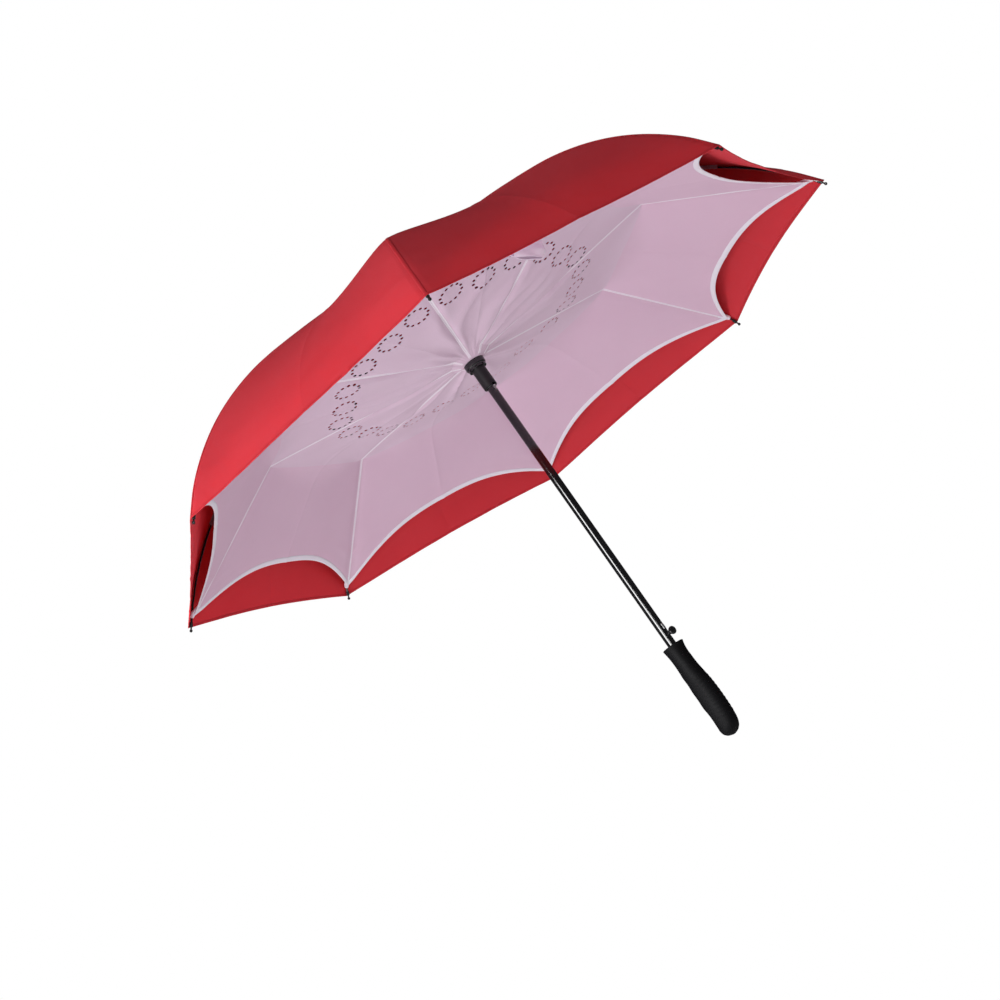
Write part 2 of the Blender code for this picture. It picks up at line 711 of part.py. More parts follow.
def runner_collar():
    """The flange under the lining, rounded below, with a notch under each rib."""
    foot = COLLAR_RADIUS - COLLAR_FOOT_INSET
    bore = SLEEVE_RADIUS + GAP
    round_centre = (COLLAR_RADIUS - COLLAR_ROUND, COLLAR_BOTTOM + COLLAR_ROUND * 2)
    profile = [(COLLAR_RADIUS, COLLAR_TOP)]
    profile += [(x, z) for x, z in arc_points(round_centre, COLLAR_ROUND, 0, -math.pi / 3, 4)]
    profile += [(foot, COLLAR_BOTTOM), (bore, COLLAR_BOTTOM), (bore, COLLAR_TOP)]
    collar = turned("collar", profile, HUB_STEPS)
    outer = COLLAR_RADIUS + OVERRUN
    low = COLLAR_BOTTOM - OVERRUN
    high = COLLAR_BOTTOM + COLLAR_NOTCH_HEIGHT
    notches = slots("collar_notch", COLLAR_NOTCH_WIDTH, foot - COLLAR_FOOT_INSET / 2, outer, low, high)
    place("runner_collar", solid_mesh(cut(collar, *notches), "runner_collar"))


def wire_ring(kind, radius, height):
    """The wire that threads the eyes of the ribs or struts."""
    centre = (radius, 0)
    circle = arc_points(centre, WIRE_RADIUS, 0, -2 * math.pi, 7)[:-1]
    ring = turned(kind + "_ring", circle, HUB_STEPS)
    place(kind, solid_mesh(ring, kind), (0, 0, height))


def crown():
    """The top notch: slots for the struts, a bore for the shaft and a stub for the cap."""
    profile = [
        (0, CROWN_TOP + STUB_LENGTH),
        (STUB_RADIUS, CROWN_TOP + STUB_LENGTH),
        (STUB_RADIUS, CROWN_TOP),
        (CROWN_RADIUS, CROWN_TOP),
        (CROWN_RADIUS, CROWN_BOTTOM),
        (SLIDING_BORE, CROWN_BOTTOM),
        (SLIDING_BORE, SHAFT_TOP + GAP),
        (0, SHAFT_TOP + GAP),
    ]
    body = turned("crown", profile, HUB_STEPS)
    outer = CROWN_RADIUS + OVERRUN
    low = CROWN_BOTTOM - OVERRUN
    strut_slots = slots("strut_slot", SLOT_WIDTH, CROWN_SLOT_RADIUS, outer, low, CROWN_CEILING)
    groove_inner = CROWN_PIVOT_RADIUS - WIRE_RADIUS - GAP
    wire_groove = groove("strut_wire_groove", groove_inner, outer, CROWN_PIVOT.y)
    place("crown", solid_mesh(cut(body, *strut_slots, wire_groove), "crown"))


def crown_cap():
    """The ferrule on top: a round flange that clamps the cloth, drawn in to a flat nub."""
    flange_top = CAP_BOTTOM + CAP_FLANGE_HEIGHT
    rest = CAP_HEIGHT - CAP_FLANGE_HEIGHT
    outside = [
        (CAP_NECK_RADIUS + (CAP_NUB_RADIUS - CAP_NECK_RADIUS) * inward, flange_top + rest * up)
        for up, inward in CAP_SHARES
    ]
    profile = [(0, CAP_BOTTOM + CAP_HEIGHT)] + outside[::-1]
    profile += [
        (CAP_FLANGE_RADIUS - CAP_FLANGE_HEIGHT / 2, flange_top),
        (CAP_FLANGE_RADIUS, CAP_BOTTOM + CAP_FLANGE_HEIGHT / 2),
        (CAP_FLANGE_RADIUS, CAP_BOTTOM),
        (STUB_RADIUS + GAP, CAP_BOTTOM),
        (STUB_RADIUS + GAP, CROWN_TOP + STUB_LENGTH + GAP),
        (0, CROWN_TOP + STUB_LENGTH + GAP),
    ]
    cap = turned("cap", profile, 24)
    place("crown_cap", solid_mesh(cap, "crown_cap"))


def lower_rib():
    """A channel along X from the runner's eye to the knee fork."""
    half = RIB_HEIGHT / 2
    outline = arc_points((0, 0), half, math.pi / 2, 3 * math.pi / 2, 5)
    outline += arc_points((RIB_LENGTH, 0), half, -math.pi / 2, math.pi / 2, 5)
    bar = plate("rib_bar", outline, RIB_WIDTH)
    inside = RIB_WIDTH - 2 * RIB_WALL
    blade_gap = (RIB_WIDTH - BLADE_THICKNESS) / 2
    blade_run = BLADE_LENGTH + half + OVERRUN
    blade_middle = BLADE_LENGTH - blade_run / 2
    sides = []
    for side in (-1, 1):
        y = side * (BLADE_THICKNESS / 2 + blade_gap / 2 + OVERRUN / 2)
        size = (blade_run, blade_gap + OVERRUN, RIB_HEIGHT + 2 * OVERRUN)
        sides.append(box(f"blade_side_{side}", size, (blade_middle, y, 0)))
    channel_start = BLADE_LENGTH + RIB_WALL
    channel_end = RIB_LENGTH + half + OVERRUN
    channel_size = (channel_end - channel_start, inside, RIB_HEIGHT)
    channel = box("channel", channel_size, ((channel_start + channel_end) / 2, 0, RIB_WALL))
    fork_start = RIB_LENGTH - FORK_LENGTH
    fork_size = (channel_end - fork_start, inside, RIB_HEIGHT + 2 * OVERRUN)
    fork = box("fork", fork_size, ((fork_start + channel_end) / 2, 0, 0))
    eye = cylinder("rib_eye", WIRE_RADIUS + GAP, RIB_WIDTH + OVERRUN, side_matrix(), EYE_SIDES)
    knee_hole = cylinder(
        "knee_hole", PIN_RADIUS + GAP, RIB_WIDTH + OVERRUN, side_matrix(0, (RIB_LENGTH, 0)), EYE_SIDES
    )
    mesh = solid_mesh(cut(bar, *sides, channel, fork, eye, knee_hole), "lower_rib")
    place_round("lower_rib", mesh, RUNNER_PIVOT, angle_of(LOWER_KNEE - RUNNER_PIVOT))


def knee_outline():
    """The knee plate in the rib plane, round its pivot: a boss, a web and a curved gusset."""
    socket = UPPER_KNEE - LOWER_KNEE
    _, along = rod_point(0)
    ahead = heading(along)
    below = heading(along - math.pi / 2)
    lean = angle_of(socket)
    boss = arc_points((0, 0), KNEE_BOSS_RADIUS, lean + math.pi / 2, lean + 3 * math.pi / 2, 7)
    far = socket + ahead * (SOCKET_REACH - SOCKET_WALL) + below * ROD_RADIUS
    near = Vector(boss[-1])
    corner = socket + (near - socket) * (1 / 4) + ahead * ROD_RADIUS
    gusset = []
    for step in range(1, 5):
        t = step / 5
        gusset.append(tuple(near * (1 - t) ** 2 + corner * (2 * t * (1 - t)) + far * t**2))
    top = [tuple(far), tuple(socket + ahead * SOCKET_BACK), tuple(socket - ahead * SOCKET_WALL)]
    return boss + gusset + top


def knee_joint():
    """The moulded knee: plate, pivot pin with rivet heads, and a socket for the rod."""
    body = plate("knee_plate", knee_outline(), KNEE_THICKNESS)
    pin = cylinder("knee_pin", PIN_RADIUS, 2 * RIVET_REACH, side_matrix(), EYE_SIDES)
    heads = []
    for side in (-1, 1):
        middle = side * (RIVET_REACH - RIVET_HEAD / 2)
        heads.append(cylinder(f"rivet_{side}", RIVET_RADIUS, RIVET_HEAD, side_matrix(middle), EYE_SIDES))
    barrel = wire("knee_socket", rod_run(-SOCKET_BACK, SOCKET_REACH, SOCKET_STEPS), SOCKET_RADIUS, 2)
    bore_run = rod_run(SOCKET_FLOOR, SOCKET_REACH + OVERRUN, SOCKET_STEPS)
    bore = wire("knee_bore", bore_run, ROD_RADIUS + GAP, 2)
    mesh = solid_mesh(cut(joined(body, pin, *heads, barrel), bore), "knee_joint")
    place_round("knee_joint", mesh, LOWER_KNEE)


def outer_rib():
    """The curved rod from the knee's socket to the tip's sleeve."""
    points = rod_run(SOCKET_FLOOR + GAP, SOCKET_REACH, SOCKET_STEPS)[:-1]
    points += rod_run(SOCKET_REACH, ROD_LENGTH - TIP_LENGTH + TIP_SEAT, ROD_STEPS)
    place_round("outer_rib", solid_mesh(wire("rod", points, ROD_RADIUS, 1), "outer_rib"), LOWER_KNEE)


def rib_tip():
    """The tip: a sleeve on the rod, a thin neck and a ball whose end lies in the rim plane."""
    ball = TIP_BALL_RADIUS
    neck_start = -TIP_LENGTH + TIP_SLEEVE_LENGTH
    seat = -TIP_LENGTH + TIP_SEAT + GAP
    bore = ROD_RADIUS + GAP
    joint = math.pi - math.asin(TIP_NECK_RADIUS / ball)
    leans = [joint * step / 4 for step in range(5)]
    globe = [(ball * math.sin(lean), ball * (math.cos(lean) - 1)) for lean in leans]
    profile = globe + [
        (TIP_NECK_RADIUS, neck_start),
        (TIP_SLEEVE_RADIUS, neck_start - TIP_SLEEVE_WALL),
        (TIP_SLEEVE_RADIUS, -TIP_LENGTH),
        (bore, -TIP_LENGTH),
        (bore, seat),
        (0, seat),
    ]
    root, _ = rod_point(1 - TIP_LENGTH / ROD_LENGTH)
    along = angle_of(TIP_END - root)
    at = TIP_END - LOWER_KNEE
    tilt = Matrix.Translation((at.x, 0, at.y)) @ Matrix.Rotation(math.pi / 2 - along, 4, "Y")
    mesh = solid_mesh(turned("tip", profile, TIP_SIDES, tilt), "rib_tip")
    place_round("rib_tip", mesh, LOWER_KNEE)


def strut_section(along, height, near, far):
    """A four-cornered section of the strut, at its place along the chord."""
    rise = strut_rise(min(max(along / STRUT_LENGTH, 0), 1))
    half = height / 2
    return [
        (along, near, rise - half),
        (along, far, rise - half),
        (along, far, rise + half),
        (along, near, rise + half),
    ]


def crown_strut():
    """The bowed flat bar: its eye in the crown's slot, its outer end beside the knee's socket."""
    blade = BLADE_THICKNESS / 2
    far = STRUT_NEAR + STRUT_THICKNESS
    eye, end = STRUT_EYE_RADIUS, STRUT_HEIGHT / 2
    sections = []
    for lean in (65, 30, 0):
        angle = math.radians(lean)
        sections.append(strut_section(-eye * math.sin(angle), 2 * eye * math.cos(angle), -blade, blade))
    sections.append(strut_section(2 * eye, STRUT_HEIGHT, -blade, blade))
    sections.append(strut_section(STRUT_BLADE_LENGTH, STRUT_HEIGHT, -blade, blade))
    bar_start = STRUT_BLADE_LENGTH + STRUT_JOG
    for step in range(7):
        along = bar_start + (STRUT_LENGTH - bar_start) * step / 6
        sections.append(strut_section(along, STRUT_HEIGHT, STRUT_NEAR, far))
    for lean in (30, 65):
        angle = math.radians(lean)
        along = STRUT_LENGTH + end * math.sin(angle)
        sections.append(strut_section(along, STRUT_HEIGHT * math.cos(angle), STRUT_NEAR, far))
    bar = loft("strut_bar", sections)
    hole = cylinder("strut_eye", WIRE_RADIUS + GAP, BLADE_THICKNESS + OVERRUN, side_matrix(), EYE_SIDES)
    head_middle = far + RIVET_HEAD / 2 - WELD
    head_length = RIVET_HEAD + STRUT_THICKNESS / 2
    head_at = side_matrix(head_middle - STRUT_THICKNESS / 4, (STRUT_LENGTH, 0))
    head = cylinder("strut_rivet", RIVET_RADIUS - GAP, head_length, head_at, EYE_SIDES)
    mesh = solid_mesh(cut(joined(bar, head), hole), "crown_strut")
    place_round("crown_strut", mesh, CROWN_PIVOT, angle_of(UPPER_KNEE - CROWN_PIVOT))


def opening_spring():
    """A long open coil round the shaft, seated on the runner and under the crown."""
    radius = SHAFT_RADIUS + SPRING_ROOM + SPRING_WIRE_RADIUS
    low = RING_TOP + GAP + SPRING_WIRE_RADIUS
    high = CROWN_BOTTOM - GAP - SPRING_WIRE_RADIUS
    count = SPRING_TURNS * SPRING_POINTS_A_TURN
    points = []
    for step in range(count + 1):
        angle = 2 * math.pi * step / SPRING_POINTS_A_TURN
        height = low + (high - low) * step / count
        points.append((radius * math.cos(angle), radius * math.sin(angle), height))
    pitch = (high - low) / SPRING_TURNS
    least = min(
        (Vector(points[i]) - Vector(points[i + SPRING_POINTS_A_TURN])).length
        for i in range(len(points) - SPRING_POINTS_A_TURN)
    )
    print(f"opening spring: pitch {pitch:.4f} m, least gap {least - 2 * SPRING_WIRE_RADIUS:.4f} m")
    spring = wire("spring", points, SPRING_WIRE_RADIUS, 1)
    place("opening_spring", solid_mesh(spring, "opening_spring"))


def release_button():
    """A mushroom knob on a stem that passes the shaft's wall, along +X."""
    stem_end = LEAF_OUTER + GAP
    head = []
    for out, wide in BUTTON_SHARES:
        head.append((BUTTON_RADIUS * wide, BUTTON_HEAD_START + BUTTON_HEAD_LENGTH * out))
    profile = [(0, BUTTON_HEAD_START + BUTTON_HEAD_LENGTH)] + head[::-1]
    profile += [(BUTTON_STEM_RADIUS, BUTTON_HEAD_START), (BUTTON_STEM_RADIUS, stem_end), (0, stem_end)]
    knob = turned("knob", profile, 24, Matrix.Rotation(math.pi / 2, 4, "Y"))
    place("release_button", solid_mesh(knob, "release_button"), (0, 0, BUTTON_HEIGHT))


def latch_leaf():
    """The spring leaf inside the shaft, whose tooth stands out above the button."""
    low = -LATCH_TAIL
    tooth_low, tooth_high = LATCH_RISE, LATCH_RISE + LATCH_HEIGHT
    reach = SHAFT_RADIUS + LATCH_REACH
    outline = [
        (LEAF_INNER, low),
        (LEAF_OUTER, low),
        (LEAF_OUTER, tooth_low),
        (reach, tooth_low),
        (reach, tooth_low + LATCH_HEIGHT * 3 / 4),
        (reach - LATCH_REACH / 2, tooth_high),
        (LEAF_OUTER, tooth_high),
        (LEAF_OUTER, tooth_high + LEAF_PAST_TOOTH),
        (LEAF_INNER, tooth_high + LEAF_PAST_TOOTH),
    ]
    leaf = plate("latch", outline, LEAF_WIDTH)
    place("latch_leaf", solid_mesh(leaf, "latch_leaf"), (0, 0, BUTTON_HEIGHT))


def top_catch():
    """The sprung wedge under the sleeve that keeps the umbrella open."""
    reach = SHAFT_RADIUS + CATCH_REACH
    outline = [
        (LEAF_INNER, -CATCH_HEIGHT - CATCH_TAIL),
        (LEAF_OUTER, -CATCH_HEIGHT - CATCH_TAIL),
        (LEAF_OUTER, -CATCH_HEIGHT),
        (SHAFT_RADIUS, -CATCH_HEIGHT),
        (reach, -CATCH_HEIGHT / 4),
        (reach, 0),
        (LEAF_OUTER, 0),
        (LEAF_OUTER, LEAF_PAST_TOOTH),
        (LEAF_INNER, LEAF_PAST_TOOTH),
    ]
    leaf = plate("catch", outline, LEAF_WIDTH)
    place("top_catch", solid_mesh(leaf, "top_catch"), (0, 0, CATCH_TOP))


def cloth(kind, rows):
    """A canopy as a thin shell over rows of points, each row running once round."""
    width = len(rows[0])
    points = [point for row in rows for point in row]
    faces = []
    for row in range(len(rows) - 1):
        for step in range(width):
            here, beside = row * width + step, row * width + (step + 1) % width
            faces.append((here, here + width, beside + width, beside))
    mesh = bpy.data.meshes.new(kind)
    mesh.from_pydata(points, [], faces)
    shell = add_cutter(kind + "_surface", mesh)
    thick = shell.modifiers.new("cloth", "SOLIDIFY")
    thick.thickness = CLOTH
    thick.offset = 0
    thick.use_even_offset = True
    place(kind, solid_mesh(shell, kind))


def gore_row(profile, sag_at, columns):
    """One row of a canopy: straight across each gore, then moved by its sag.

    profile(spread) gives the rib's (radius, height) for this row, where spread is 1 at the ribs and
    0 between them, and sag_at(spread) the move along (radius, height) in the middle of the gore.
    """
    row = []
    for index in range(RIBS * columns):
        gore, column = divmod(index, columns)
        share = column / columns
        spread = abs(2 * share - 1)
        left, right = gore * 2 * HALF_GORE, (gore + 1) * 2 * HALF_GORE
        at = profile(spread)
        move = sag_at(spread)
        middle = (left + right) / 2
        x = at.x * ((1 - share) * math.cos(left) + share * math.cos(right)) + move.x * math.cos(middle)
        y = at.x * ((1 - share) * math.sin(left) + share * math.sin(right)) + move.x * math.sin(middle)
        row.append((x, y, at.y + move.y))
    return row


def still(spread):
    return Vector((0, 0))


def hub_row(radius, height, columns):
    """A flat row whose sides, not its corners, reach the radius."""
    return gore_row(lambda spread: Vector((radius / APOTHEM_SHARE, height)), still, columns)


def red_row(at, direction, sag, lift=0):
    """A row above the frame, sagging towards the underside by its share."""
    up = heading(direction + math.pi / 2)
    rib = at + up * (RED_LIFT + lift)
    return gore_row(lambda spread: rib, lambda spread: up * (-sag * (1 - spread**2) ** 2), RED_COLUMNS)


def outer_canopy():
    """The red canopy, from the crown over the struts and rods to the rim."""
    hub_radii = (STUB_RADIUS + GAP, CROWN_RADIUS + GAP)
    rows = [hub_row(radius, RED_HUB_HEIGHT, RED_COLUMNS) for radius in hub_radii]
    for share, sag_share in RED_STRUT_SHARES:
        rows.append(red_row(*strut_point(share), RED_SAG * sag_share, RED_STRUT_LIFT))
    reach = 1 - RED_CORNER_BACK / ROD_LENGTH
    for share, sag_share in RED_ROD_SHARES:
        rim = max(0, (share - RED_RIM_FROM_SHARE) / (1 - RED_RIM_FROM_SHARE))
        sag = RED_SAG * sag_share - RED_RIM_LIFT * rim
        rows.append(red_row(*rod_point(share * reach), sag))
    cloth("outer_canopy", rows)


def white_corner():
    """Where the lining's corner lies against the tip, inside the rim."""
    at, along = rod_point(1 - WHITE_CORNER_BACK / ROD_LENGTH)
    return at + heading(along - math.pi / 2) * (TIP_SLEEVE_RADIUS + GAP + CLOTH / 2)


def white_knee():
    """Where the lining turns under the knee's boss."""
    inner = angle_of(LOWER_KNEE - RUNNER_PIVOT)
    outer = angle_of(white_corner() - LOWER_KNEE)
    room = (KNEE_BOSS_RADIUS + GAP + CLOTH / 2) / math.cos((inner - outer) / 2)
    return LOWER_KNEE + heading((inner + outer) / 2 - math.pi / 2) * room


def white_row(rib, sag):
    """A straight row of the lining under a point of the rib, moved by its sag between the ribs."""
    return gore_row(lambda spread: rib, lambda spread: sag * (1 - spread**2), WHITE_COLUMNS)


def inner_canopy():
    """The white lining: under the lower ribs to the knees, then straight to the rib tips."""
    hub_radii = (SLEEVE_RADIUS + GAP, RING_RADIUS + GAP)
    rows = [hub_row(radius, WHITE_HUB_HEIGHT, WHITE_COLUMNS) for radius in hub_radii]
    slope = angle_of(LOWER_KNEE - RUNNER_PIVOT)
    down = heading(slope - math.pi / 2)
    shares = [WHITE_HUB_RUN / RIB_LENGTH, *WHITE_RIB_SHARES]
    for share in shares:
        rib = RUNNER_PIVOT.lerp(LOWER_KNEE, share) + down * WHITE_DROP
        rows.append(white_row(rib, down * (WHITE_INNER_SAG * share)))
    knee, corner = white_knee(), white_corner()
    rows.append(white_row(knee, down * WHITE_INNER_SAG))
    inward = heading(angle_of(corner - knee) - math.pi / 2)
    for share in WHITE_OUTER_SHARES:

        def profile(spread, share=share):
            depth = 1 - SCALLOP_DEPTH_SHARE * (1 - spread**SCALLOP_POWER)
            return knee.lerp(corner, share * depth)

        def sag_at(spread, share=share):
            sag = WHITE_INNER_SAG + (WHITE_SCALLOP_SAG - WHITE_INNER_SAG) * share
            return inward * (sag * (1 - spread**2))

        rows.append(gore_row(profile, sag_at, WHITE_COLUMNS))
    cloth("inner_canopy", rows)


def strap_path():
    """The strap's middle line as (outward, height): down, round a small loop and part way up."""
    count = STRAP_POINTS // 2
    path = []
    for step in range(count):
        share = step / (count - 1)
        wave = STRAP_WAVE * math.sin(2 * math.pi * share)
        path.append((wave, -STRAP_DROP * share))
    turn = arc_points((STRAP_LOOP_RADIUS, -STRAP_DROP), STRAP_LOOP_RADIUS, math.pi, 2 * math.pi, 7)
    path += turn[1:]
    back = 2 * STRAP_LOOP_RADIUS
    for step in range(1, count):
        share = step / (count - 1)
        lean = STRAP_WAVE * math.sin(math.pi * share) - STRAP_LOOP_RADIUS * share / 2
        path.append((back + lean, -STRAP_DROP + STRAP_RETURN * share))
    return path


def tie_strap():
    """The closing strap, hanging folded from the lining beside rib 1."""
    path = [Vector(point) for point in strap_path()]
    sections = []
    for index, at in enumerate(path):
        run = path[min(index + 1, len(path) - 1)] - path[max(index - 1, 0)]
        side = heading(angle_of(run) + math.pi / 2) * (STRAP_THICKNESS / 2)
        half = STRAP_WIDTH / 2
        sections.append(
            [
                (at.x - side.x, -half, at.y - side.y),
                (at.x + side.x, -half, at.y + side.y),
                (at.x + side.x, half, at.y + side.y),
                (at.x - side.x, half, at.y - side.y),
            ]
        )
    mesh = solid_mesh(loft("strap", sections), "tie_strap")
    slope = angle_of(LOWER_KNEE - RUNNER_PIVOT)
    rib_radius = STRAP_RADIUS * math.cos(HALF_GORE + STRAP_AZIMUTH) / APOTHEM_SHARE
    rib_height = RUNNER_PIVOT.y + (rib_radius - RUNNER_PIVOT.x) * math.tan(slope)
    drop = (WHITE_DROP + WHITE_INNER_SAG * STRAP_SAG_SHARE) / math.cos(slope) + CLOTH / 2 + GAP
    drop += STRAP_WIDTH / 2 * math.sin(HALF_GORE + STRAP_AZIMUTH) * math.tan(slope)
    at = (
        STRAP_RADIUS * math.cos(STRAP_AZIMUTH),
        STRAP_RADIUS * math.sin(STRAP_AZIMUTH),
        rib_height - drop - STRAP_THICKNESS / 2,
    )
    place("tie_strap", mesh, at, (0, 0, STRAP_AZIMUTH))


def build():
    shaft()
    handle_core()
    handle_grip()
    runner()
    runner_collar()
    wire_ring("runner_wire", RUNNER_PIVOT_RADIUS, RUNNER_PIVOT.y)
    crown()
    wire_ring("crown_wire", CROWN_PIVOT_RADIUS, CROWN_PIVOT.y)
    crown_cap()
    lower_rib()
    knee_joint()
    outer_rib()
    rib_tip()
    crown_strut()
    opening_spring()
    release_button()
    latch_leaf()
    top_catch()
    outer_canopy()
    inner_canopy()
    tie_strap()
    for helper in list(CUTTERS.objects):
        helper.hide_set(True)


build()
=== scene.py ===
# %% [markdown]
# # An inverted umbrella, dressed for its portrait
# The part gives the frame: shaft, runner, crown, ribs, knees and rods at their real sizes. This lesson
# adds what the eye sees first: two canopies of thin cloth with seams, hems and vent holes, a strap, a
# rubber grip, and the finish of every metal and plastic piece.

import math
from functools import partial
from types import SimpleNamespace

import bmesh
import bpy
import numpy as np
from mathutils import Matrix, Vector, noise


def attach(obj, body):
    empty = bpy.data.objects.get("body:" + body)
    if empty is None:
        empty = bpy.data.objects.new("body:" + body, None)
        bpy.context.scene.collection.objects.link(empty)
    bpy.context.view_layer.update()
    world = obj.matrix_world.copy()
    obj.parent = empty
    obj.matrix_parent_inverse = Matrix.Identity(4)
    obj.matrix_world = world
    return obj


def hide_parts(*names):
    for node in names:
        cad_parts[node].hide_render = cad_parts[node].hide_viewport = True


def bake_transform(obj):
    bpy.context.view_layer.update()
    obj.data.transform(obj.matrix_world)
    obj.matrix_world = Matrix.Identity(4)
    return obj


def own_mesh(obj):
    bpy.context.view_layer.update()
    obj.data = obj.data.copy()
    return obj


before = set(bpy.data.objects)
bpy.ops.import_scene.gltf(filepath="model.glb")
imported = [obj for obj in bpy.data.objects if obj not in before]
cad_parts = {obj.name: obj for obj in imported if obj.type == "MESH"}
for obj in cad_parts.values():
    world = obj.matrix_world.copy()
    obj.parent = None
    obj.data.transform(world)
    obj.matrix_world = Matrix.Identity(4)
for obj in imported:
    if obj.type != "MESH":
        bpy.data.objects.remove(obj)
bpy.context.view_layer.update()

# %% [markdown]
# ## Camera
# The photograph looks up into the open canopy, with the shaft leaning across the picture. An upright
# camera can't do that, so its own right and up directions are given. A 63.6 mm lens at 2.4 m keeps the
# far rim nearly as large as the near one.

# %% Camera
CAMERA_PLACE = Vector((1.63933, -1.6427, -0.18993))
CAMERA_RIGHT = Vector((0.466118, 0.690384, -0.55327)).normalized()
CAMERA_UP = Vector((0.52818, 0.28454, 0.80004)).normalized()
CAMERA_LENS = 63.61

back = CAMERA_RIGHT.cross(CAMERA_UP).normalized()
turn = Matrix((CAMERA_RIGHT, back.cross(CAMERA_RIGHT), back)).transposed().to_4x4()
lens = bpy.data.cameras.new("camera")
lens.lens = CAMERA_LENS
lens.clip_end = 100
camera = bpy.data.objects.new("camera", lens)
camera.matrix_world = Matrix.Translation(CAMERA_PLACE) @ turn
bpy.context.scene.collection.objects.link(camera)
bpy.context.scene.camera = camera
print("camera at", [round(x, 3) for x in camera.location])

# %% [markdown]
# ## Node helpers
# A node tree can be clicked together or written out. Written out it needs a few small helpers, so that
# each line of a shader reads like arithmetic.

# %% Helpers for nodes
WHITE = (1, 1, 1, 1)


def feed(tree, sockets, values):
    """Gives inputs plain values, or links them to the outputs that they read."""
    for label, value in values.items():
        if isinstance(value, bpy.types.NodeSocket):
            tree.links.new(value, sockets[label])
        else:
            sockets[label].default_value = value


def add_node(tree, kind, values):
    node = tree.nodes.new(kind)
    feed(tree, node.inputs, values)
    return node


def new_group(name, inputs, outputs):
    """A group, its sockets to read and to feed, and its maths. Tuples and Colour are colours."""
    group = bpy.data.node_groups.new(name, "ShaderNodeTree")
    for label, value in inputs.items():
        kind = "NodeSocketColor" if isinstance(value, tuple) else "NodeSocketFloat"
        group.interface.new_socket(label, in_out="INPUT", socket_type=kind).default_value = value
    for label in outputs:
        kind = "NodeSocketColor" if label == "Colour" else "NodeSocketFloat"
        group.interface.new_socket(label, in_out="OUTPUT", socket_type=kind)
    given, out = group.nodes.new("NodeGroupInput").outputs, group.nodes.new("NodeGroupOutput").inputs
    return group, given, out, partial(math_node, group)


def math_node(tree, operation, *values, clamp=False):
    """The output of a Math node on sockets or numbers."""
    node = tree.nodes.new("ShaderNodeMath")
    node.operation, node.use_clamp = operation, clamp
    feed(tree, node.inputs, dict(enumerate(values)))
    return node.outputs[0]


def noise_node(tree, place, scale, detail=2.0, rough=0.5):
    values = {"Vector": place, "Scale": scale, "Detail": detail, "Roughness": rough}
    return add_node(tree, "ShaderNodeTexNoise", values).outputs["Fac"]


def blend_colours(tree, share, first, second):
    node = tree.nodes.new("ShaderNodeMix")
    node.data_type = "RGBA"
    feed(tree, node.inputs, {"Factor": share, "A": first, "B": second})
    return node.outputs["Result"]


def split_node(tree, place):
    return add_node(tree, "ShaderNodeSeparateXYZ", {0: place}).outputs


def cloth_place(tree):
    """The place on a cloth in metres, from its UVs."""
    uv = tree.nodes.new("ShaderNodeUVMap")
    uv.uv_map = "cloth"
    return split_node(tree, uv.outputs[0])


def wave_node(tree, value, length):
    """A sine that repeats after a length."""
    turns = math_node(tree, "DIVIDE", value, length)
    return math_node(tree, "SINE", math_node(tree, "MULTIPLY", turns, 2 * math.pi))

# %% [markdown]
# ## Studio
# The background is white and the lining is evenly bright from below. One outer gore is lit from the
# left and the next is dark. A sky that is brighter below and three soft lamps give that. The sky is
# dimmer in reflections, so that black plastic stays black, and a fourth lamp only draws the bright
# line on the shaft.

# %% Sky and lamps
SKY_BELOW = 0.60
SKY_ABOVE = 0.14
SKY_IN_GLOSS = 0.22
CANOPY_MIDDLE = Vector((0, 0, 0.5))
# Each lamp's name, place, width, height, power, and whether it lights the cloth and shows in gloss.
LAMPS = (
    ("key_lamp", (-1.25, -2.75, 1.35), 1.7, 1.7, 52.0, True, False),
    ("fill_lamp", (-0.6, -2.3, -0.55), 1.6, 1.2, 24.0, True, True),
    ("side_lamp", (0.99, -2.73, 0.85), 0.5, 1.4, 20.0, True, False),
    ("line_lamp", (0.47, -1.53, 0.25), 0.95, 1.0, 38.0, False, True),
)


def make_sky():
    """White where the camera sees it, and a soft light for everything else."""
    sky = bpy.data.worlds.new("studio_sky")
    sky.use_nodes = True
    tree = sky.node_tree
    seen = tree.nodes["Background"]
    feed(tree, seen.inputs, {"Color": WHITE})
    spot = tree.nodes.new("ShaderNodeTexCoord").outputs["Generated"]
    spans = {"From Min": -0.5, "From Max": 0.5, "To Min": SKY_BELOW, "To Max": SKY_ABOVE}
    rise = add_node(tree, "ShaderNodeMapRange", {"Value": split_node(tree, spot)["Z"], **spans})
    path = tree.nodes.new("ShaderNodeLightPath").outputs
    dim = math_node(tree, "MULTIPLY_ADD", path["Is Glossy Ray"], SKY_IN_GLOSS - 1, 1.0)
    strength = math_node(tree, "MULTIPLY", dim, rise.outputs["Result"])
    lit = add_node(tree, "ShaderNodeBackground", {"Color": WHITE, "Strength": strength})
    ways = {0: path["Is Camera Ray"], 1: lit.outputs[0], 2: seen.outputs[0]}
    mix = add_node(tree, "ShaderNodeMixShader", ways)
    feed(tree, tree.nodes["World Output"].inputs, {"Surface": mix.outputs[0]})
    return sky


def add_lamp(name, place, width, height, power, on_cloth, in_gloss):
    lamp = bpy.data.lights.new(name, "AREA")
    lamp.shape, lamp.size, lamp.size_y, lamp.energy = "ELLIPSE", width, height, power
    item = bpy.data.objects.new(name, lamp)
    item.location = place
    item.rotation_euler = (item.location - CANOPY_MIDDLE).to_track_quat("Z", "Y").to_euler()
    item.visible_camera, item.visible_diffuse, item.visible_glossy = False, on_cloth, in_gloss
    bpy.context.scene.collection.objects.link(item)


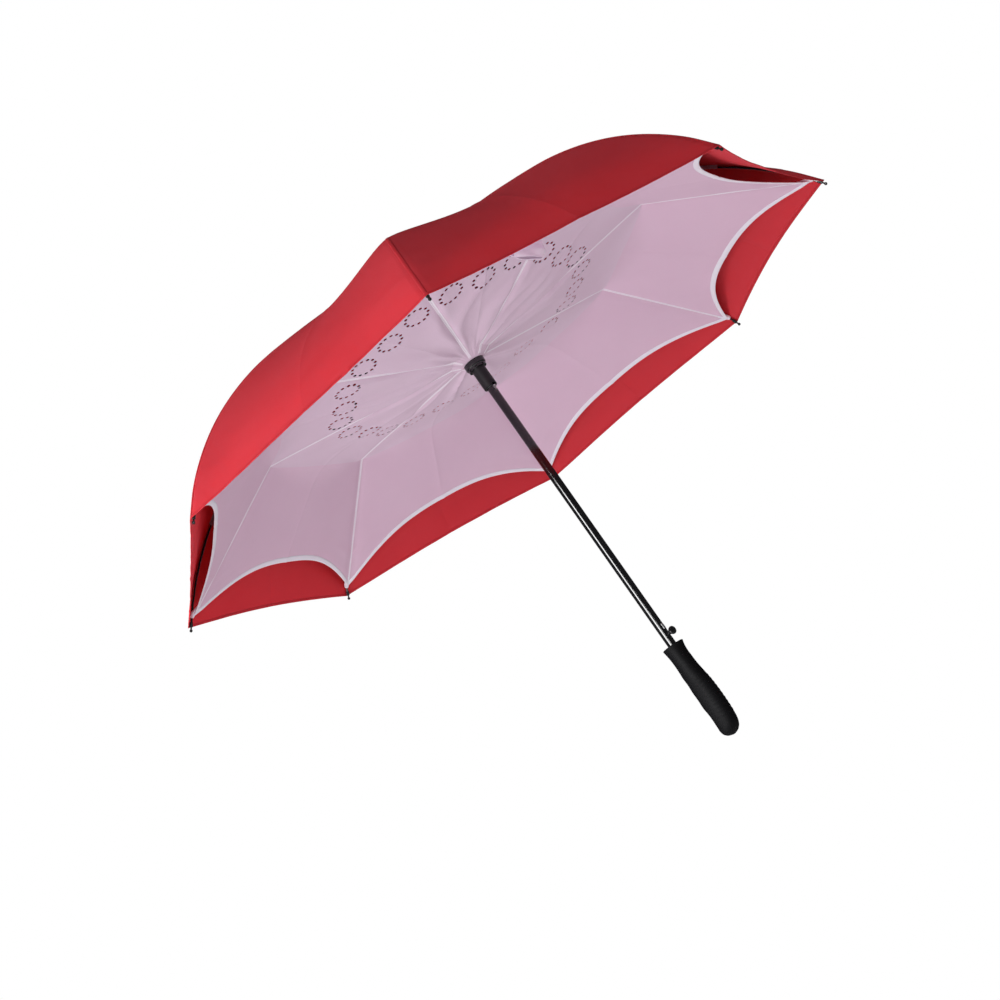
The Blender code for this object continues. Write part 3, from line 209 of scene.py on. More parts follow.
bpy.context.scene.world = make_sky()
bpy.context.scene.view_settings.view_transform = "Standard"
for lamp_row in LAMPS:
    add_lamp(*lamp_row)
print("lamps:", [row[0] for row in LAMPS])

# %% [markdown]
# ## Shared effects
# A weave, a row of stitches and a fine grain come back on many pieces. Each is a node group that is
# built once and takes its own values in every material. It gives colours, roughness and heights, and
# the shader stays in the material.

# %% The weave group
SLUB_SCALE = 700.0


def make_weave():
    """Crossing threads, with a slow change of shade over the cloth."""
    inputs = {
        "Thread pitch": 0.0006,
        "Mottle scale": 9.0,
        "Light colour": (0.5, 0.5, 0.5, 1),
        "Dark colour": (0.4, 0.4, 0.4, 1),
    }
    group, given, out, maths = new_group("weave", inputs, ("Colour", "Height", "Roughness"))
    places = cloth_place(group)
    threads = [wave_node(group, places[axis], given["Thread pitch"]) for axis in "XY"]
    crossing = maths("MULTIPLY", *threads)
    spot = group.nodes.new("ShaderNodeTexCoord").outputs["Object"]
    mottle = noise_node(group, spot, given["Mottle scale"], 4.0, 0.6)
    slub = noise_node(group, spot, SLUB_SCALE, 1.0)
    share = maths("MULTIPLY_ADD", crossing, 0.10, mottle)
    share = maths("MULTIPLY_ADD", slub, 0.25, maths("SUBTRACT", share, 0.12))
    colour = blend_colours(group, share, given["Dark colour"], given["Light colour"])
    rough = maths("MULTIPLY_ADD", mottle, 0.14, 0.66)
    feed(group, out, {"Colour": colour, "Height": crossing, "Roughness": rough})
    return group


WEAVE = make_weave()
print("group:", WEAVE.name)

# %% The stitches group


def make_stitches():
    """Two rows of thread along a strip, whose U runs across it and V along it."""
    inputs = {
        "First row": 0.001,
        "Second row": -0.001,
        "Stitch length": 0.0026,
        "Thread width": 0.0003,
        "Cloth colour": (0.5, 0.5, 0.5, 1),
        "Thread colour": (0.8, 0.8, 0.8, 1),
        "Cloth height": 0.0,
    }
    group, given, out, maths = new_group("stitches", inputs, ("Colour", "Height"))
    places = cloth_place(group)
    rows = []
    for label in ("First row", "Second row"):
        away = maths("ABSOLUTE", maths("SUBTRACT", places["X"], given[label]))
        near = maths("DIVIDE", away, given["Thread width"])
        rows.append(maths("SUBTRACT", 1.0, near, clamp=True))
    wave = wave_node(group, places["Y"], given["Stitch length"])
    dash = maths("MULTIPLY_ADD", wave, 2.0, 1.1, clamp=True)
    thread = maths("MULTIPLY", maths("MAXIMUM", *rows), dash)
    colour = blend_colours(group, thread, given["Cloth colour"], given["Thread colour"])
    height = maths("MULTIPLY_ADD", given["Cloth height"], 0.2, thread)
    feed(group, out, {"Colour": colour, "Height": height})
    return group


STITCHES = make_stitches()
print("group:", STITCHES.name)

# %% The grain group
MARK_SCALE = 38.0


def make_grain():
    """Fine grain, with faint handling marks that dull or polish the surface."""
    inputs = {
        "Grain scale": 900.0,
        "Dull roughness": 0.5,
        "Polished roughness": 0.3,
        "Colour": (0.02, 0.02, 0.02, 1),
        "Dust colour": (0.05, 0.05, 0.05, 1),
        "Dust share": 0.2,
    }
    group, given, out, maths = new_group("grain", inputs, ("Colour", "Height", "Roughness"))
    spot = group.nodes.new("ShaderNodeTexCoord").outputs["Object"]
    fine = noise_node(group, spot, given["Grain scale"], 3.0)
    marks = noise_node(group, spot, MARK_SCALE, 5.0, 0.65)
    gap = maths("SUBTRACT", given["Dull roughness"], given["Polished roughness"])
    rough = maths("MULTIPLY_ADD", gap, marks, given["Polished roughness"])
    dusty = maths("MULTIPLY", marks, given["Dust share"], clamp=True)
    colour = blend_colours(group, dusty, given["Colour"], given["Dust colour"])
    feed(group, out, {"Colour": colour, "Height": fine, "Roughness": rough})
    return group


GRAIN = make_grain()
print("group:", GRAIN.name)

# %% [markdown]
# ## Finishes
# Every cloth uses the weave, sewn strips add the stitches, and every hard piece uses the grain. What
# is the same all over a surface, such as its coat, is set on the shader itself.

# %% Material makers
CLOTH_BUMP = 0.00004
STITCH_BUMP = 0.0002


def add_effect(tree, group, values):
    """A node that uses a group, with its inputs fed."""
    effect = tree.nodes.new("ShaderNodeGroup")
    effect.node_tree = group
    feed(tree, effect.inputs, values)
    return effect


def new_finish(name, group, values, bump, settings):
    """A material whose colour, roughness and bump come from a group."""
    made = bpy.data.materials.new(name)
    made.use_nodes = True
    tree = made.node_tree
    effect = add_effect(tree, group, values)
    effect.name = "effect"
    relief = {"Distance": bump, "Strength": 0.5, "Height": effect.outputs["Height"]}
    links = {
        "Base Color": effect.outputs["Colour"],
        "Roughness": effect.outputs["Roughness"],
        "Normal": add_node(tree, "ShaderNodeBump", relief).outputs["Normal"],
    }
    feed(tree, tree.nodes["Principled BSDF"].inputs, {**links, **settings})
    return made


def cloth_finish(name, light, dark, pitch=0.0006, glow=0.22, spread=(1.0, 0.8, 0.9)):
    """Woven cloth. Its glow is the share of light that wanders through it."""
    values = {"Thread pitch": pitch, "Light colour": (*light, 1), "Dark colour": (*dark, 1)}
    settings = {
        "Subsurface Weight": glow,
        "Subsurface Radius": spread,
        "Subsurface Scale": 0.002,
        "Specular IOR Level": 0.12,
    }
    return new_finish(name, WEAVE, values, CLOTH_BUMP, settings)


def sewn_finish(name, light, dark, thread, row, pitch=0.0009, width=0.0003):
    """Cloth with two rows of stitches, each at the distance row from the middle."""
    made = cloth_finish(name, light, dark, pitch)
    tree = made.node_tree
    cloth = tree.nodes["effect"].outputs
    values = {
        "First row": row,
        "Second row": -row,
        "Thread colour": (*thread, 1),
        "Thread width": width,
        "Cloth colour": cloth["Colour"],
        "Cloth height": cloth["Height"],
    }
    sewn = add_effect(tree, STITCHES, values).outputs
    feed(tree, tree.nodes["Principled BSDF"].inputs, {"Base Color": sewn["Colour"]})
    feed(tree, tree.nodes["Bump"].inputs, {"Height": sewn["Height"], "Distance": STITCH_BUMP})
    return made


def hard_finish(
    name, colour, polished, dull, shine=0.5, grain=900.0, bump=0.00002, metallic=0.0, coat=0.0, dust=0.12
):
    """Plastic, lacquer or metal, with dust a little lighter than its colour."""
    values = {
        "Grain scale": grain,
        "Dull roughness": dull,
        "Polished roughness": polished,
        "Colour": (*colour, 1),
        "Dust colour": (*(min(1, 2.0 * part + 0.006) for part in colour), 1),
        "Dust share": dust,
    }
    settings = {
        "Metallic": metallic,
        "Coat Weight": coat,
        "Coat Roughness": 0.10,
        "Specular IOR Level": shine,
    }
    return new_finish(name, GRAIN, values, bump, settings)

# %% The finishes
RED_CLOTH = cloth_finish(
    "red_cloth", (0.74, 0.046, 0.063), (0.64, 0.034, 0.049), glow=0.45, spread=(1.0, 0.4, 0.4)
)
# The red seams and rim hem are darker than the red cloth: painted shade along the seams and the rim's edge.
# Their stitches are real thread.
RED_SEWN_PAINTED_SHADE = sewn_finish(
    "red_sewn", (0.66, 0.034, 0.048), (0.56, 0.024, 0.036), (0.58, 0.03, 0.045), 0.0014, 0.0006
)
# The lining, its seams and its hem tape are white cloth. Their pink-mauve is painted red light bounced from
# the red canopy, strongest on the skirts and weaker on the inner lining near the hub.
LINING_SKIRT_PAINTED_BOUNCE = cloth_finish("lining_cloth", (0.82, 0.56, 0.72), (0.76, 0.505, 0.66))
LINING_INNER_PAINTED_BOUNCE = cloth_finish("lining_inner", (0.80, 0.59, 0.74), (0.75, 0.535, 0.68))
LINING_SEWN = sewn_finish(
    "lining_sewn", (0.93, 0.80, 0.91), (0.89, 0.74, 0.87), (0.97, 0.94, 0.98), 0.0021, width=0.0008
)
HEM_TAPE = sewn_finish("hem_tape", (0.94, 0.88, 0.98), (0.88, 0.81, 0.93), (0.86, 0.80, 0.90), 0.0030, 0.0012)
STRAP_RIBBON = cloth_finish("strap_ribbon", (0.95, 0.84, 0.95), (0.88, 0.75, 0.87), 0.0012)
PATCH_CLOTH = cloth_finish("tie_patch", (0.80, 0.42, 0.52), (0.70, 0.34, 0.44), 0.0012)

# Each hard finish: colour, polished and dull roughness, shine, grain, bump, metallic and coat.
HARD_ROWS = {
    "black_lacquer": ((0.006, 0.006, 0.007), 0.05, 0.10, 0.8, 1600.0),
    "grip_rubber": ((0.005, 0.005, 0.006), 0.50, 0.66, 0.08, 1400.0, 0.00006),
    "moulded_black": ((0.009, 0.009, 0.010), 0.32, 0.48, 0.35, 1800.0),
    "gloss_knob": ((0.009, 0.009, 0.011), 0.14, 0.24, 0.6, 1800.0),
    "knee_nylon": ((0.013, 0.013, 0.014), 0.42, 0.58, 0.3, 1200.0, 0.00004),
    "black_rib_steel": ((0.016, 0.016, 0.018), 0.24, 0.38, 0.4, 900.0, 0.00002, 0.6),
    "black_rod": ((0.008, 0.008, 0.009), 0.18, 0.30, 0.4, 900.0, 0.00002, 0.0, 0.3),
    "tip_plastic": ((0.012, 0.012, 0.013), 0.24, 0.38, 0.4, 1800.0),
    "bright_steel": ((0.72, 0.72, 0.73), 0.20, 0.34, 0.5, 900.0, 0.00002, 1.0),
    "wire_steel": ((0.46, 0.46, 0.47), 0.28, 0.42, 0.5, 900.0, 0.00002, 1.0),
}
HARD = {name: hard_finish(name, *row) for name, row in HARD_ROWS.items()}
# The part's pieces by finish, and how far each piece's edges are rounded, in metres.
NODE_FINISHES = {
    "black_lacquer": {"shaft": 0},
    "moulded_black": {"crown": 0.0002, "crown_cap": 0.0004, "runner": 0.0002},
    "gloss_knob": {"runner_collar": 0.0003, "release_button": 0.0002},
    "knee_nylon": {"handle_core": 0.0003, "knee_joint": 0.0002},
    "black_rib_steel": {"lower_rib": 0.0001, "crown_strut": 0.0001},
    "black_rod": {"outer_rib": 0},
    "tip_plastic": {"rib_tip": 0},
    "bright_steel": {"latch_leaf": 0.0001, "top_catch": 0.0001},
    "wire_steel": {"crown_wire": 0, "runner_wire": 0, "opening_spring": 0},
}
BEVEL_ANGLE = math.radians(40)


def dress_node(name, item):
    """Gives a piece of the part its finish and rounds its edges."""
    kind = name.rstrip("0123456789").rstrip("_")
    for finish, widths in NODE_FINISHES.items():
        if kind not in widths:
            continue
        item.data.materials.clear()
        item.data.materials.append(HARD[finish])
        if widths[kind]:
            edge = item.modifiers.new("edge", "BEVEL")
            edge.width, edge.segments = widths[kind], 2
            edge.limit_method, edge.angle_limit = "ANGLE", BEVEL_ANGLE
        return True
    return False


dressed = sum(dress_node(name, item) for name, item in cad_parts.items())
print("dressed", dressed, "of", len(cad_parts), "nodes")

# %% [markdown]
# ## The ribs' plane
# Every rib is the same linkage in its own upright plane, so the cloth is drawn beside rib 1 and turned
# round the shaft for the others. The points are the part's pivots as (distance from the shaft, height).

# %% Points of one rib
RIBS = 8
GORE_TURN = 2 * math.pi / RIBS
HALF_TURN = GORE_TURN / 2
RUNNER_PIVOT = np.array((0.0135, 0.5535))
LOWER_KNEE = np.array((0.3150, 0.5955))
UPPER_KNEE = np.array((0.2930, 0.6385))
CROWN_PIVOT = np.array((0.0121, 0.7055))
TIP_END = np.array((0.5300, 0.4615))
ROD_SAGITTA = 0.026
STRUT_SAGITTA = 0.007
ROD_RADIUS = 0.0015
TIP_SLEEVE_RADIUS = 0.0023
CLOTH = 0.0004


def rib_angle(rib):
    return (rib - 1) * GORE_TURN


def heading(angle):
    return np.array((math.cos(angle), math.sin(angle)))


def upward(angle):
    """The direction square to a line at an angle, on its upper side."""
    return heading(angle + math.pi / 2)


def downward(angle):
    return heading(angle - math.pi / 2)


def angle_of(run):
    return math.atan2(run[1], run[0])


def bowed(start, end, sagitta, share):
    """A point of an arc that bulges upward between two points, and its direction."""
    chord = end - start
    length = float(np.hypot(*chord))
    radius = (length**2 / 4 + sagitta**2) / (2 * sagitta)
    half = math.asin(length / (2 * radius))
    lean = half * (1 - 2 * share)
    along = radius * (math.sin(half) - math.sin(lean))
    above = radius * (math.cos(lean) - math.cos(half))
    turn = angle_of(chord)
    return start + heading(turn) * along + upward(turn) * above, turn + lean


def rod_point(share):
    return bowed(UPPER_KNEE, TIP_END, ROD_SAGITTA, share)


def strut_point(share):
    return bowed(CROWN_PIVOT, UPPER_KNEE, STRUT_SAGITTA, share)


ROD_STEPS = [rod_point(step / 50)[0] for step in range(51)]
ROD_LENGTH = sum(float(np.hypot(*(there - here))) for here, there in zip(ROD_STEPS, ROD_STEPS[1:]))
print("rod", round(ROD_LENGTH, 4), "m along its arc")

# %% [markdown]
# ## From a profile to a panel of cloth
# A canopy is one sheet on eight ribs, but the ribs fold apart, so each carries its own panel that
# reaches to the middle of the gores beside it. Panels meet edge to edge, and the eye sees one cloth. A
# place in a panel has two numbers: its reach runs outward along the rib, and its side runs from -1 in
# the middle of one gore over 0 at the rib to 1 in the middle of the next.

# %% Helpers for panels


def step_lengths(points, axis):
    """Distances between neighbouring points along one axis of an array."""
    return np.linalg.norm(np.diff(points, axis=axis), axis=-1)


def unit(vectors):
    return vectors / np.linalg.norm(vectors, axis=-1, keepdims=True)


def read_smoothly(knots, rows, at):
    """Rows of numbers at knots, read between them on a smooth curve."""
    slopes = np.gradient(rows, knots, axis=0)
    index = np.clip(np.searchsorted(knots, at, side="right") - 1, 0, len(knots) - 2)
    span = (knots[index + 1] - knots[index])[..., None]
    t = (at - knots[index])[..., None] / span
    start = rows[index] * (2 * t**3 - 3 * t**2 + 1) + slopes[index] * span * (t**3 - 2 * t**2 + t)
    end = rows[index + 1] * (3 * t**2 - 2 * t**3) + slopes[index + 1] * span * (t**3 - t**2)
    return start + end


def smooth_line(points, count):
    """A smooth curve through points, read at even steps of its length."""
    knots = np.concatenate([[0], np.cumsum(step_lengths(points[:, :2], 0))])
    return read_smoothly(knots, points, np.linspace(0, 1, count) * knots[-1])


def as_grid(reaches, sides):
    """Rows of reaches and columns of sides as two arrays of one shape."""
    return np.broadcast_arrays(reaches[:, None] if reaches.ndim == 1 else reaches, sides)


def stacked(*parts):
    """Numbers or arrays of x, y and z as one array of points."""
    return np.stack(np.broadcast_arrays(*parts), axis=-1)


def gore_of(rib, side):
    """The gore that a point of a rib's panel lies in. Gore 1 is between ribs 1 and 2."""
    return np.where(side >= 0, rib, (rib - 2) % RIBS + 1)


def across_gore(rib, sag, side):
    """Rib-plane rows as points beside rib 1. rib and sag are grids of (outward, up)."""
    share = np.abs(side) / 2
    outward = rib[..., 0] * (1 - share + share * math.cos(GORE_TURN)) + sag[..., 0] * math.cos(HALF_TURN)
    beside = rib[..., 0] * share * math.sin(GORE_TURN) + sag[..., 0] * math.sin(HALF_TURN)
    return stacked(outward, np.sign(side) * beside, rib[..., 1] + sag[..., 1])


def turned_round(points, rib):
    """Points beside rib 1 turned round the shaft to another rib."""
    c, s = heading(rib_angle(rib))
    return points @ np.array(((c, s, 0), (-s, c, 0), (0, 0, 1)))


def lifted(points, outward, up, height):
    """Moves points by height along a direction in the upright plane through each."""
    turn = np.arctan2(points[..., 1], points[..., 0])
    return points + stacked(outward * np.cos(turn), outward * np.sin(turn), up) * height[..., None]


def grid_normals(grid):
    normals = np.cross(np.gradient(grid, axis=0), np.gradient(grid, axis=1))
    return normals / np.maximum(np.linalg.norm(normals, axis=-1, keepdims=True), 1e-12)


def running_places(grid):
    """Metres across each row from its middle and along each column, as UVs."""
    v = np.concatenate([np.zeros((1, grid.shape[1])), np.cumsum(step_lengths(grid, 0), axis=0)])
    u = np.concatenate([np.zeros((grid.shape[0], 1)), np.cumsum(step_lengths(grid, 1), axis=1)], axis=1)
    return stacked(u - (u[:, :1] + u[:, -1:]) / 2, v).reshape(-1, 2)

# %% From grids to meshes
SHARP = math.radians(55)


def add_piece(name, mesh, finish):
    """Puts a mesh into the scene with its finish."""
    item = bpy.data.objects.new(name, mesh)
    mesh.materials.append(finish)
    bpy.context.scene.collection.objects.link(item)
    return item


def smoothed(mesh):
    mesh.shade_smooth()
    mesh.set_sharp_from_angle(angle=SHARP)
    return mesh


def finished_mesh(name, points, faces, places):
    """A smooth-shaded mesh with one UV place for each point."""
    mesh = bpy.data.meshes.new(name)
    mesh.from_pydata(points.tolist(), [], faces)
    corners = np.empty(len(mesh.loops), int)
    mesh.loops.foreach_get("vertex_index", corners)
    layer = mesh.uv_layers.new(name="cloth")
    layer.data.foreach_set("uv", places[corners].ravel())
    return smoothed(mesh)


def shell_piece(name, grid, thickness, finish):
    """A grid of points as a thin closed shell, of one thickness or one for each column."""
    rows, columns = grid.shape[:2]
    half = np.broadcast_to(np.asarray(thickness) / 2, (rows, columns))[..., None]
    offset = grid_normals(grid) * half
    points = np.concatenate([(grid + offset).reshape(-1, 3), (grid - offset).reshape(-1, 3)])
    under = rows * columns
    index = np.arange(under).reshape(rows, columns)
    a, b, c, d = index[:-1, :-1], index[1:, :-1], index[1:, 1:], index[:-1, 1:]
    faces = np.stack([a, b, c, d, under + a, under + d, under + c, under + b], axis=-1).reshape(-1, 4)
    rim = np.concatenate([index[0], index[1:, -1], index[-1, -2::-1], index[-2:0:-1, 0]])
    after = np.roll(rim, -1)
    faces = faces.tolist() + np.stack([rim, after, under + after, under + rim], axis=-1).tolist()
    places = np.tile(running_places(grid), (2, 1))
    return add_piece(name, finished_mesh(name, points, faces, places), finish)


def loft_piece(name, rings, finish):
    """Closed rings of points as one solid, with its ends closed."""
    rings = np.asarray(rings)
    count, sides = rings.shape[:2]
    a = np.arange(count * sides).reshape(count, sides)
    b = np.roll(a, -1, axis=1)
    faces = np.stack([a[:-1], b[:-1], b[1:], a[1:]], axis=-1).reshape(-1, 4).tolist()
    for c in range(sides):
        faces.append((a[0, c], a.size, b[0, c]))
        faces.append((a[-1, c], b[-1, c], a.size + 1))
    points = np.concatenate([rings.reshape(-1, 3), [rings[0].mean(axis=0), rings[-1].mean(axis=0)]])
    places = np.concatenate([running_places(rings), np.zeros((2, 2))])
    return add_piece(name, finished_mesh(name, points, faces, places), finish)


print("panel helpers ready")

# %% [markdown]
# ## Small folds
# Cloth is never a perfect surface. The lining is pleated near the runner and lies in long soft folds
# farther out, creases run to each rib tip, and one runs down the middle of every gore. All of it is a
# height that depends only on the place in space, so neighbouring panels still meet. The lining only
# hangs down, because above it are the ribs.

# %% Fold heights
OUTER_LENGTH = 0.238
RED_OUTER_LENGTH = 0.31
CREASE_WIDTH = 0.006


def waves(points, scale, seed):
    """Smooth noise from -1 to 1 at each point, the same in every run."""
    flat = points.reshape(-1, 3) * scale + seed
    return np.array([noise.noise(Vector(p)) for p in flat]).reshape(points.shape[:-1])


def smoothstep(x, low, high):
    t = np.clip((x - low) / (high - low), 0, 1)
    return t * t * (3 - 2 * t)


def window(x, low, high, falling, gone):
    """1 inside a span and 0 outside it, with soft ends."""
    return smoothstep(x, low, high) * (1 - smoothstep(x, falling, gone))


def hump(x, middle, width):
    return np.exp(-(((x - middle) / width) ** 2))


def round_shaft(points, twist, stretch):
    """Places for noise that lies in long, slightly bent rays from the shaft."""
    radius = np.hypot(points[..., 0], points[..., 1])
    turn = np.arctan2(points[..., 1], points[..., 0]) + twist * waves(points, 7.0, 2.2)
    return stacked(np.cos(turn), np.sin(turn), radius * stretch), radius


def middle_crease(points, beside):
    """How close a point is to the middle of its gore, from 0 to 1."""
    outward = np.sqrt(np.maximum(points[..., 0] ** 2 + points[..., 1] ** 2 - beside**2, 0))
    return np.clip(1 - (outward * math.tan(HALF_TURN) - beside) / CREASE_WIDTH, 0, 1)


def corner_pulls(beside, back, near, far):
    """Creases that spread from a rib tip, which is the distance back away."""
    slant = beside / (back + 0.012)
    pulls = hump(slant, 0.13, 0.035) + 0.7 * hump(slant, 0.30, 0.05) + 0.4 * hump(slant, 0.52, 0.07)
    return pulls * window(back, 0.0, 0.02, near, far)


def lining_folds(points, reach, beside):
    """Metres by which the lining hangs away from the ribs in its folds."""
    rays, radius = round_shaft(points, 0.34, 1.3)
    long_folds = np.clip(1 - 2.6 * np.abs(waves(rays, 2.6, 1.9)), 0, 1) ** 1.4
    long_folds = long_folds * window(radius, 0.02, 0.07, 0.13, 0.29)
    pleats = np.clip(0.5 + waves(rays, 9.5, 6.4), 0, 1) * window(radius, 0.017, 0.028, 0.045, 0.12)
    soft = (0.5 + 0.5 * waves(points, 9.0, 1.7)) * smoothstep(radius, 0.06, 0.15)
    crumple = (0.5 + 0.5 * waves(points, 30.0, 5.3)) * hump(reach, 1, 0.14) * hump(beside, 0, 0.05)
    pulls = np.where(reach > 1, corner_pulls(beside, (2 - reach) * OUTER_LENGTH, 0.08, 0.19), 0)
    crease = middle_crease(points, beside) * smoothstep(radius, 0.05, 0.1)
    height = 0.0055 * long_folds + 0.0024 * pleats + 0.0030 * soft + 0.0016 * crumple + 0.0012 * pulls
    return height * (1 - hump(beside, 0, 0.005)) + 0.0007 * crease


def canopy_folds(points, reach, beside):
    """Metres by which the red cloth stands out."""
    soft = waves(points, 9.0, 4.4) * smoothstep(reach, 0.1, 0.6)
    puckers = waves(round_shaft(points, 0.1, 2.0)[0], 22.0, 3.3) * smoothstep(reach, 1.88, 2.0)
    pulls = np.where(reach > 1, corner_pulls(beside, (2 - reach) * RED_OUTER_LENGTH, 0.05, 0.12), 0)
    height = 0.0012 * soft + 0.0007 * puckers + 0.0014 * pulls
    crease = middle_crease(points, beside) * smoothstep(reach, 0.3, 0.6)
    return height * (1 - hump(beside, 0, 0.006)) + 0.0006 * crease


print("fold heights ready")

# %% [markdown]
# ## The lining's surface
# The off-white lining runs under the lower ribs to the knees and from there straight to the rib tips.
# Its edge is cut in deep scallops, so a row stops short of the rim in the middle of the gore. Its
# reach is 0 at the runner, 1 at the knees and 2 at the edge. The bend at the knees is sharp at a rib
# and rounded between the ribs.

# %% Lining surface
LINING_DROP = 0.0032
LINING_HUB_RADIUS = 0.0155
LINING_HUB_HEIGHT = 0.5450
LINING_HUB_REACH = 0.0608
LINING_CORNER_BACK = 0.0225
INNER_SAG = 0.002
KNEE_ROOM = 0.0035
KNEE_SOFTNESS = 0.30
SCALLOP_POWER = 2.8
KNEE_READS = 11
# For gores 1 to 8: how deep the scallops are cut, how far they lean, and how far they sag.
SCALLOP_SHARES = np.array((0.272, 0.283, 0.279, 0.279, 0.275, 0.262, 0.28, 0.28))
SCALLOP_SKEWS = np.array((0, 0, 0, 0, 0.04, 0, 0, 0))
SCALLOP_SAGS = np.array((0.0016, 0.0045, 0.0016, -0.0055, -0.0055, -0.0055, 0.0005, 0.0005))

LINING_SLOPE = angle_of(LOWER_KNEE - RUNNER_PIVOT)
LINING_DOWN = downward(LINING_SLOPE)

rod_end, rod_run = rod_point(1 - LINING_CORNER_BACK / ROD_LENGTH)
CORNER = rod_end + downward(rod_run) * (TIP_SLEEVE_RADIUS + 0.0005)
OUTER_SLOPE = angle_of(CORNER - LOWER_KNEE)
KNEE_TURN = downward((LINING_SLOPE + OUTER_SLOPE) / 2)
KNEE_POINT = LOWER_KNEE + KNEE_TURN * KNEE_ROOM / math.cos((LINING_SLOPE - OUTER_SLOPE) / 2)
OUTER_DOWN = downward(angle_of(CORNER - KNEE_POINT))


def lining_rows(reach, side, gore):
    """The lining beside rib 1, taut and without folds."""
    across = side - np.where(side >= 0, 1, -1)
    skewed = np.abs(across + SCALLOP_SKEWS[gore - 1] * (1 - across**2))
    lower = LOWER_KNEE - RUNNER_PIVOT
    drop = LINING_DOWN * LINING_DROP
    inner = RUNNER_PIVOT + lower * np.clip(reach, 0, 1)[..., None] + drop
    start = np.array((LINING_HUB_RADIUS / math.cos(HALF_TURN), LINING_HUB_HEIGHT))
    join = RUNNER_PIVOT + lower * LINING_HUB_REACH + drop
    rise = np.clip(reach / LINING_HUB_REACH, 0, 1)[..., None]
    inner = np.where(reach[..., None] < LINING_HUB_REACH, start + (join - start) * rise, inner)
    inner = inner + (KNEE_POINT - (LOWER_KNEE + drop)) * smoothstep(reach, 0.9, 1.0)[..., None]
    depth = 1 - SCALLOP_SHARES[gore - 1] * (1 - skewed**SCALLOP_POWER)
    out = np.clip(reach - 1, 0, 1)
    outer = KNEE_POINT + (CORNER - KNEE_POINT) * (out * depth)[..., None]
    is_inner = (reach <= 1)[..., None]
    hollow = 1 - np.clip(1 - np.abs(side), 0, 1) ** 2
    sag_in = LINING_DOWN * (INNER_SAG * np.clip(reach, 0, 1) * hollow)[..., None]
    sag_out = OUTER_DOWN * ((INNER_SAG + (SCALLOP_SAGS[gore - 1] - INNER_SAG) * out) * hollow)[..., None]
    return across_gore(np.where(is_inner, inner, outer), np.where(is_inner, sag_in, sag_out), side)


def lining_grid(reaches, sides, rib):
    """The lining beside a rib, with the knee rounded off between the ribs."""
    reach, side = as_grid(reaches, sides)
    gore = gore_of(rib, side)
    room = np.clip(np.minimum(2 - reach, reach - LINING_HUB_REACH), 0, None)
    width = np.minimum(KNEE_SOFTNESS * smoothstep(np.abs(side), 0.0, 0.7), room)
    points = total = 0
    for step in np.linspace(-1, 1, KNEE_READS):
        weight = 1.02 - step**2
        points = points + weight * lining_rows(reach + step * width, side, gore)
        total += weight
    points = points / total
    beside = np.abs(points[..., 1])
    points = turned_round(points, rib)
    share = smoothstep(reach, 0.85, 1.15)
    down = LINING_DOWN + (OUTER_DOWN - LINING_DOWN) * share[..., None]
    return lifted(points, down[..., 0], down[..., 1], lining_folds(points, reach, beside))


print("lining corner", CORNER.round(4), "knee", KNEE_POINT.round(4))

# %% [markdown]
# ## The red canopy's surface
# The outer cloth starts under the crown's cap and lies over the struts and the arched rods to just
# short of the tips. Its profile is read from a few rows, the same as the part's. Its reach is 0 at the
# crown, 1 at the upper knees and 2 at the rim. In the photograph the rim hangs a few millimetres lower
# on one side than on the other.

# %% Red surface
STRUT_LIFT = 0.0060
ROD_LIFTS = (0.0048, 0.0034, 0.0032, 0.0034, 0.0040, 0.0042)
RED_CORNER_BACK = 0.006
RED_SAG = 0.011
RIM_LIFT = 0.005
RIM_FROM = 0.55
CROWN_EDGE = 0.0144
RED_HUB_HEIGHT = 0.7130
PROFILE_READS = 241
# Along the strut and along the rod: the share of its length, and how much of the sag is there.
STRUT_ROWS = ((0.08, 0.04), (0.20, 0.15), (0.45, 0.45), (0.70, 0.75), (0.93, 1.0))
ROD_ROWS = ((0.10, 0.95), (0.30, 0.8), (0.50, 0.45), (0.68, 0.15), (0.84, 0.0), (1.0, 0.0))
# How far the rim's middle is shifted on each gore, as (outward, up).
RIM_SHIFTS = ((-0.0105, -0.0092), (-0.0088, 0.0045), (-0.002, 0.002), (-0.0033, 0.0032),
              (-0.007, 0.0036), (-0.005, -0.005), (-0.004, -0.0044), (-0.004, -0.0054))


def red_rows():
    """(outward, up, sag outward, sag up) along the rib's line, from the crown to the rim."""
    rows = [(CROWN_EDGE / math.cos(HALF_TURN), RED_HUB_HEIGHT, 0, 0)]
    for share, sag in STRUT_ROWS:
        at, turn = strut_point(share)
        up = upward(turn)
        rows.append((*(at + up * STRUT_LIFT), *(-up * RED_SAG * sag)))
    for (share, sag), lift in zip(ROD_ROWS, ROD_LIFTS):
        at, turn = rod_point(share * (1 - RED_CORNER_BACK / ROD_LENGTH))
        up = upward(turn)
        rim = max(0, (share - RIM_FROM) / (1 - RIM_FROM))
        rows.append((*(at + up * lift), *(-up * (RED_SAG * sag - RIM_LIFT * rim))))
    return np.array(rows)


RED_FINE = smooth_line(red_rows(), PROFILE_READS)
RED_SHARES = np.concatenate([[0], np.cumsum(step_lengths(RED_FINE[:, :2], 0))])
RED_SHARES = RED_SHARES / RED_SHARES[-1]
RED_KNEE = RED_SHARES[np.argmin(np.hypot(*(RED_FINE[:, :2] - UPPER_KNEE).T))]
RED_RUN = unit(np.gradient(RED_FINE[:, :2], axis=0))


def read_profile(share, columns):
    return np.stack([np.interp(share, RED_SHARES, column) for column in columns.T], axis=-1)


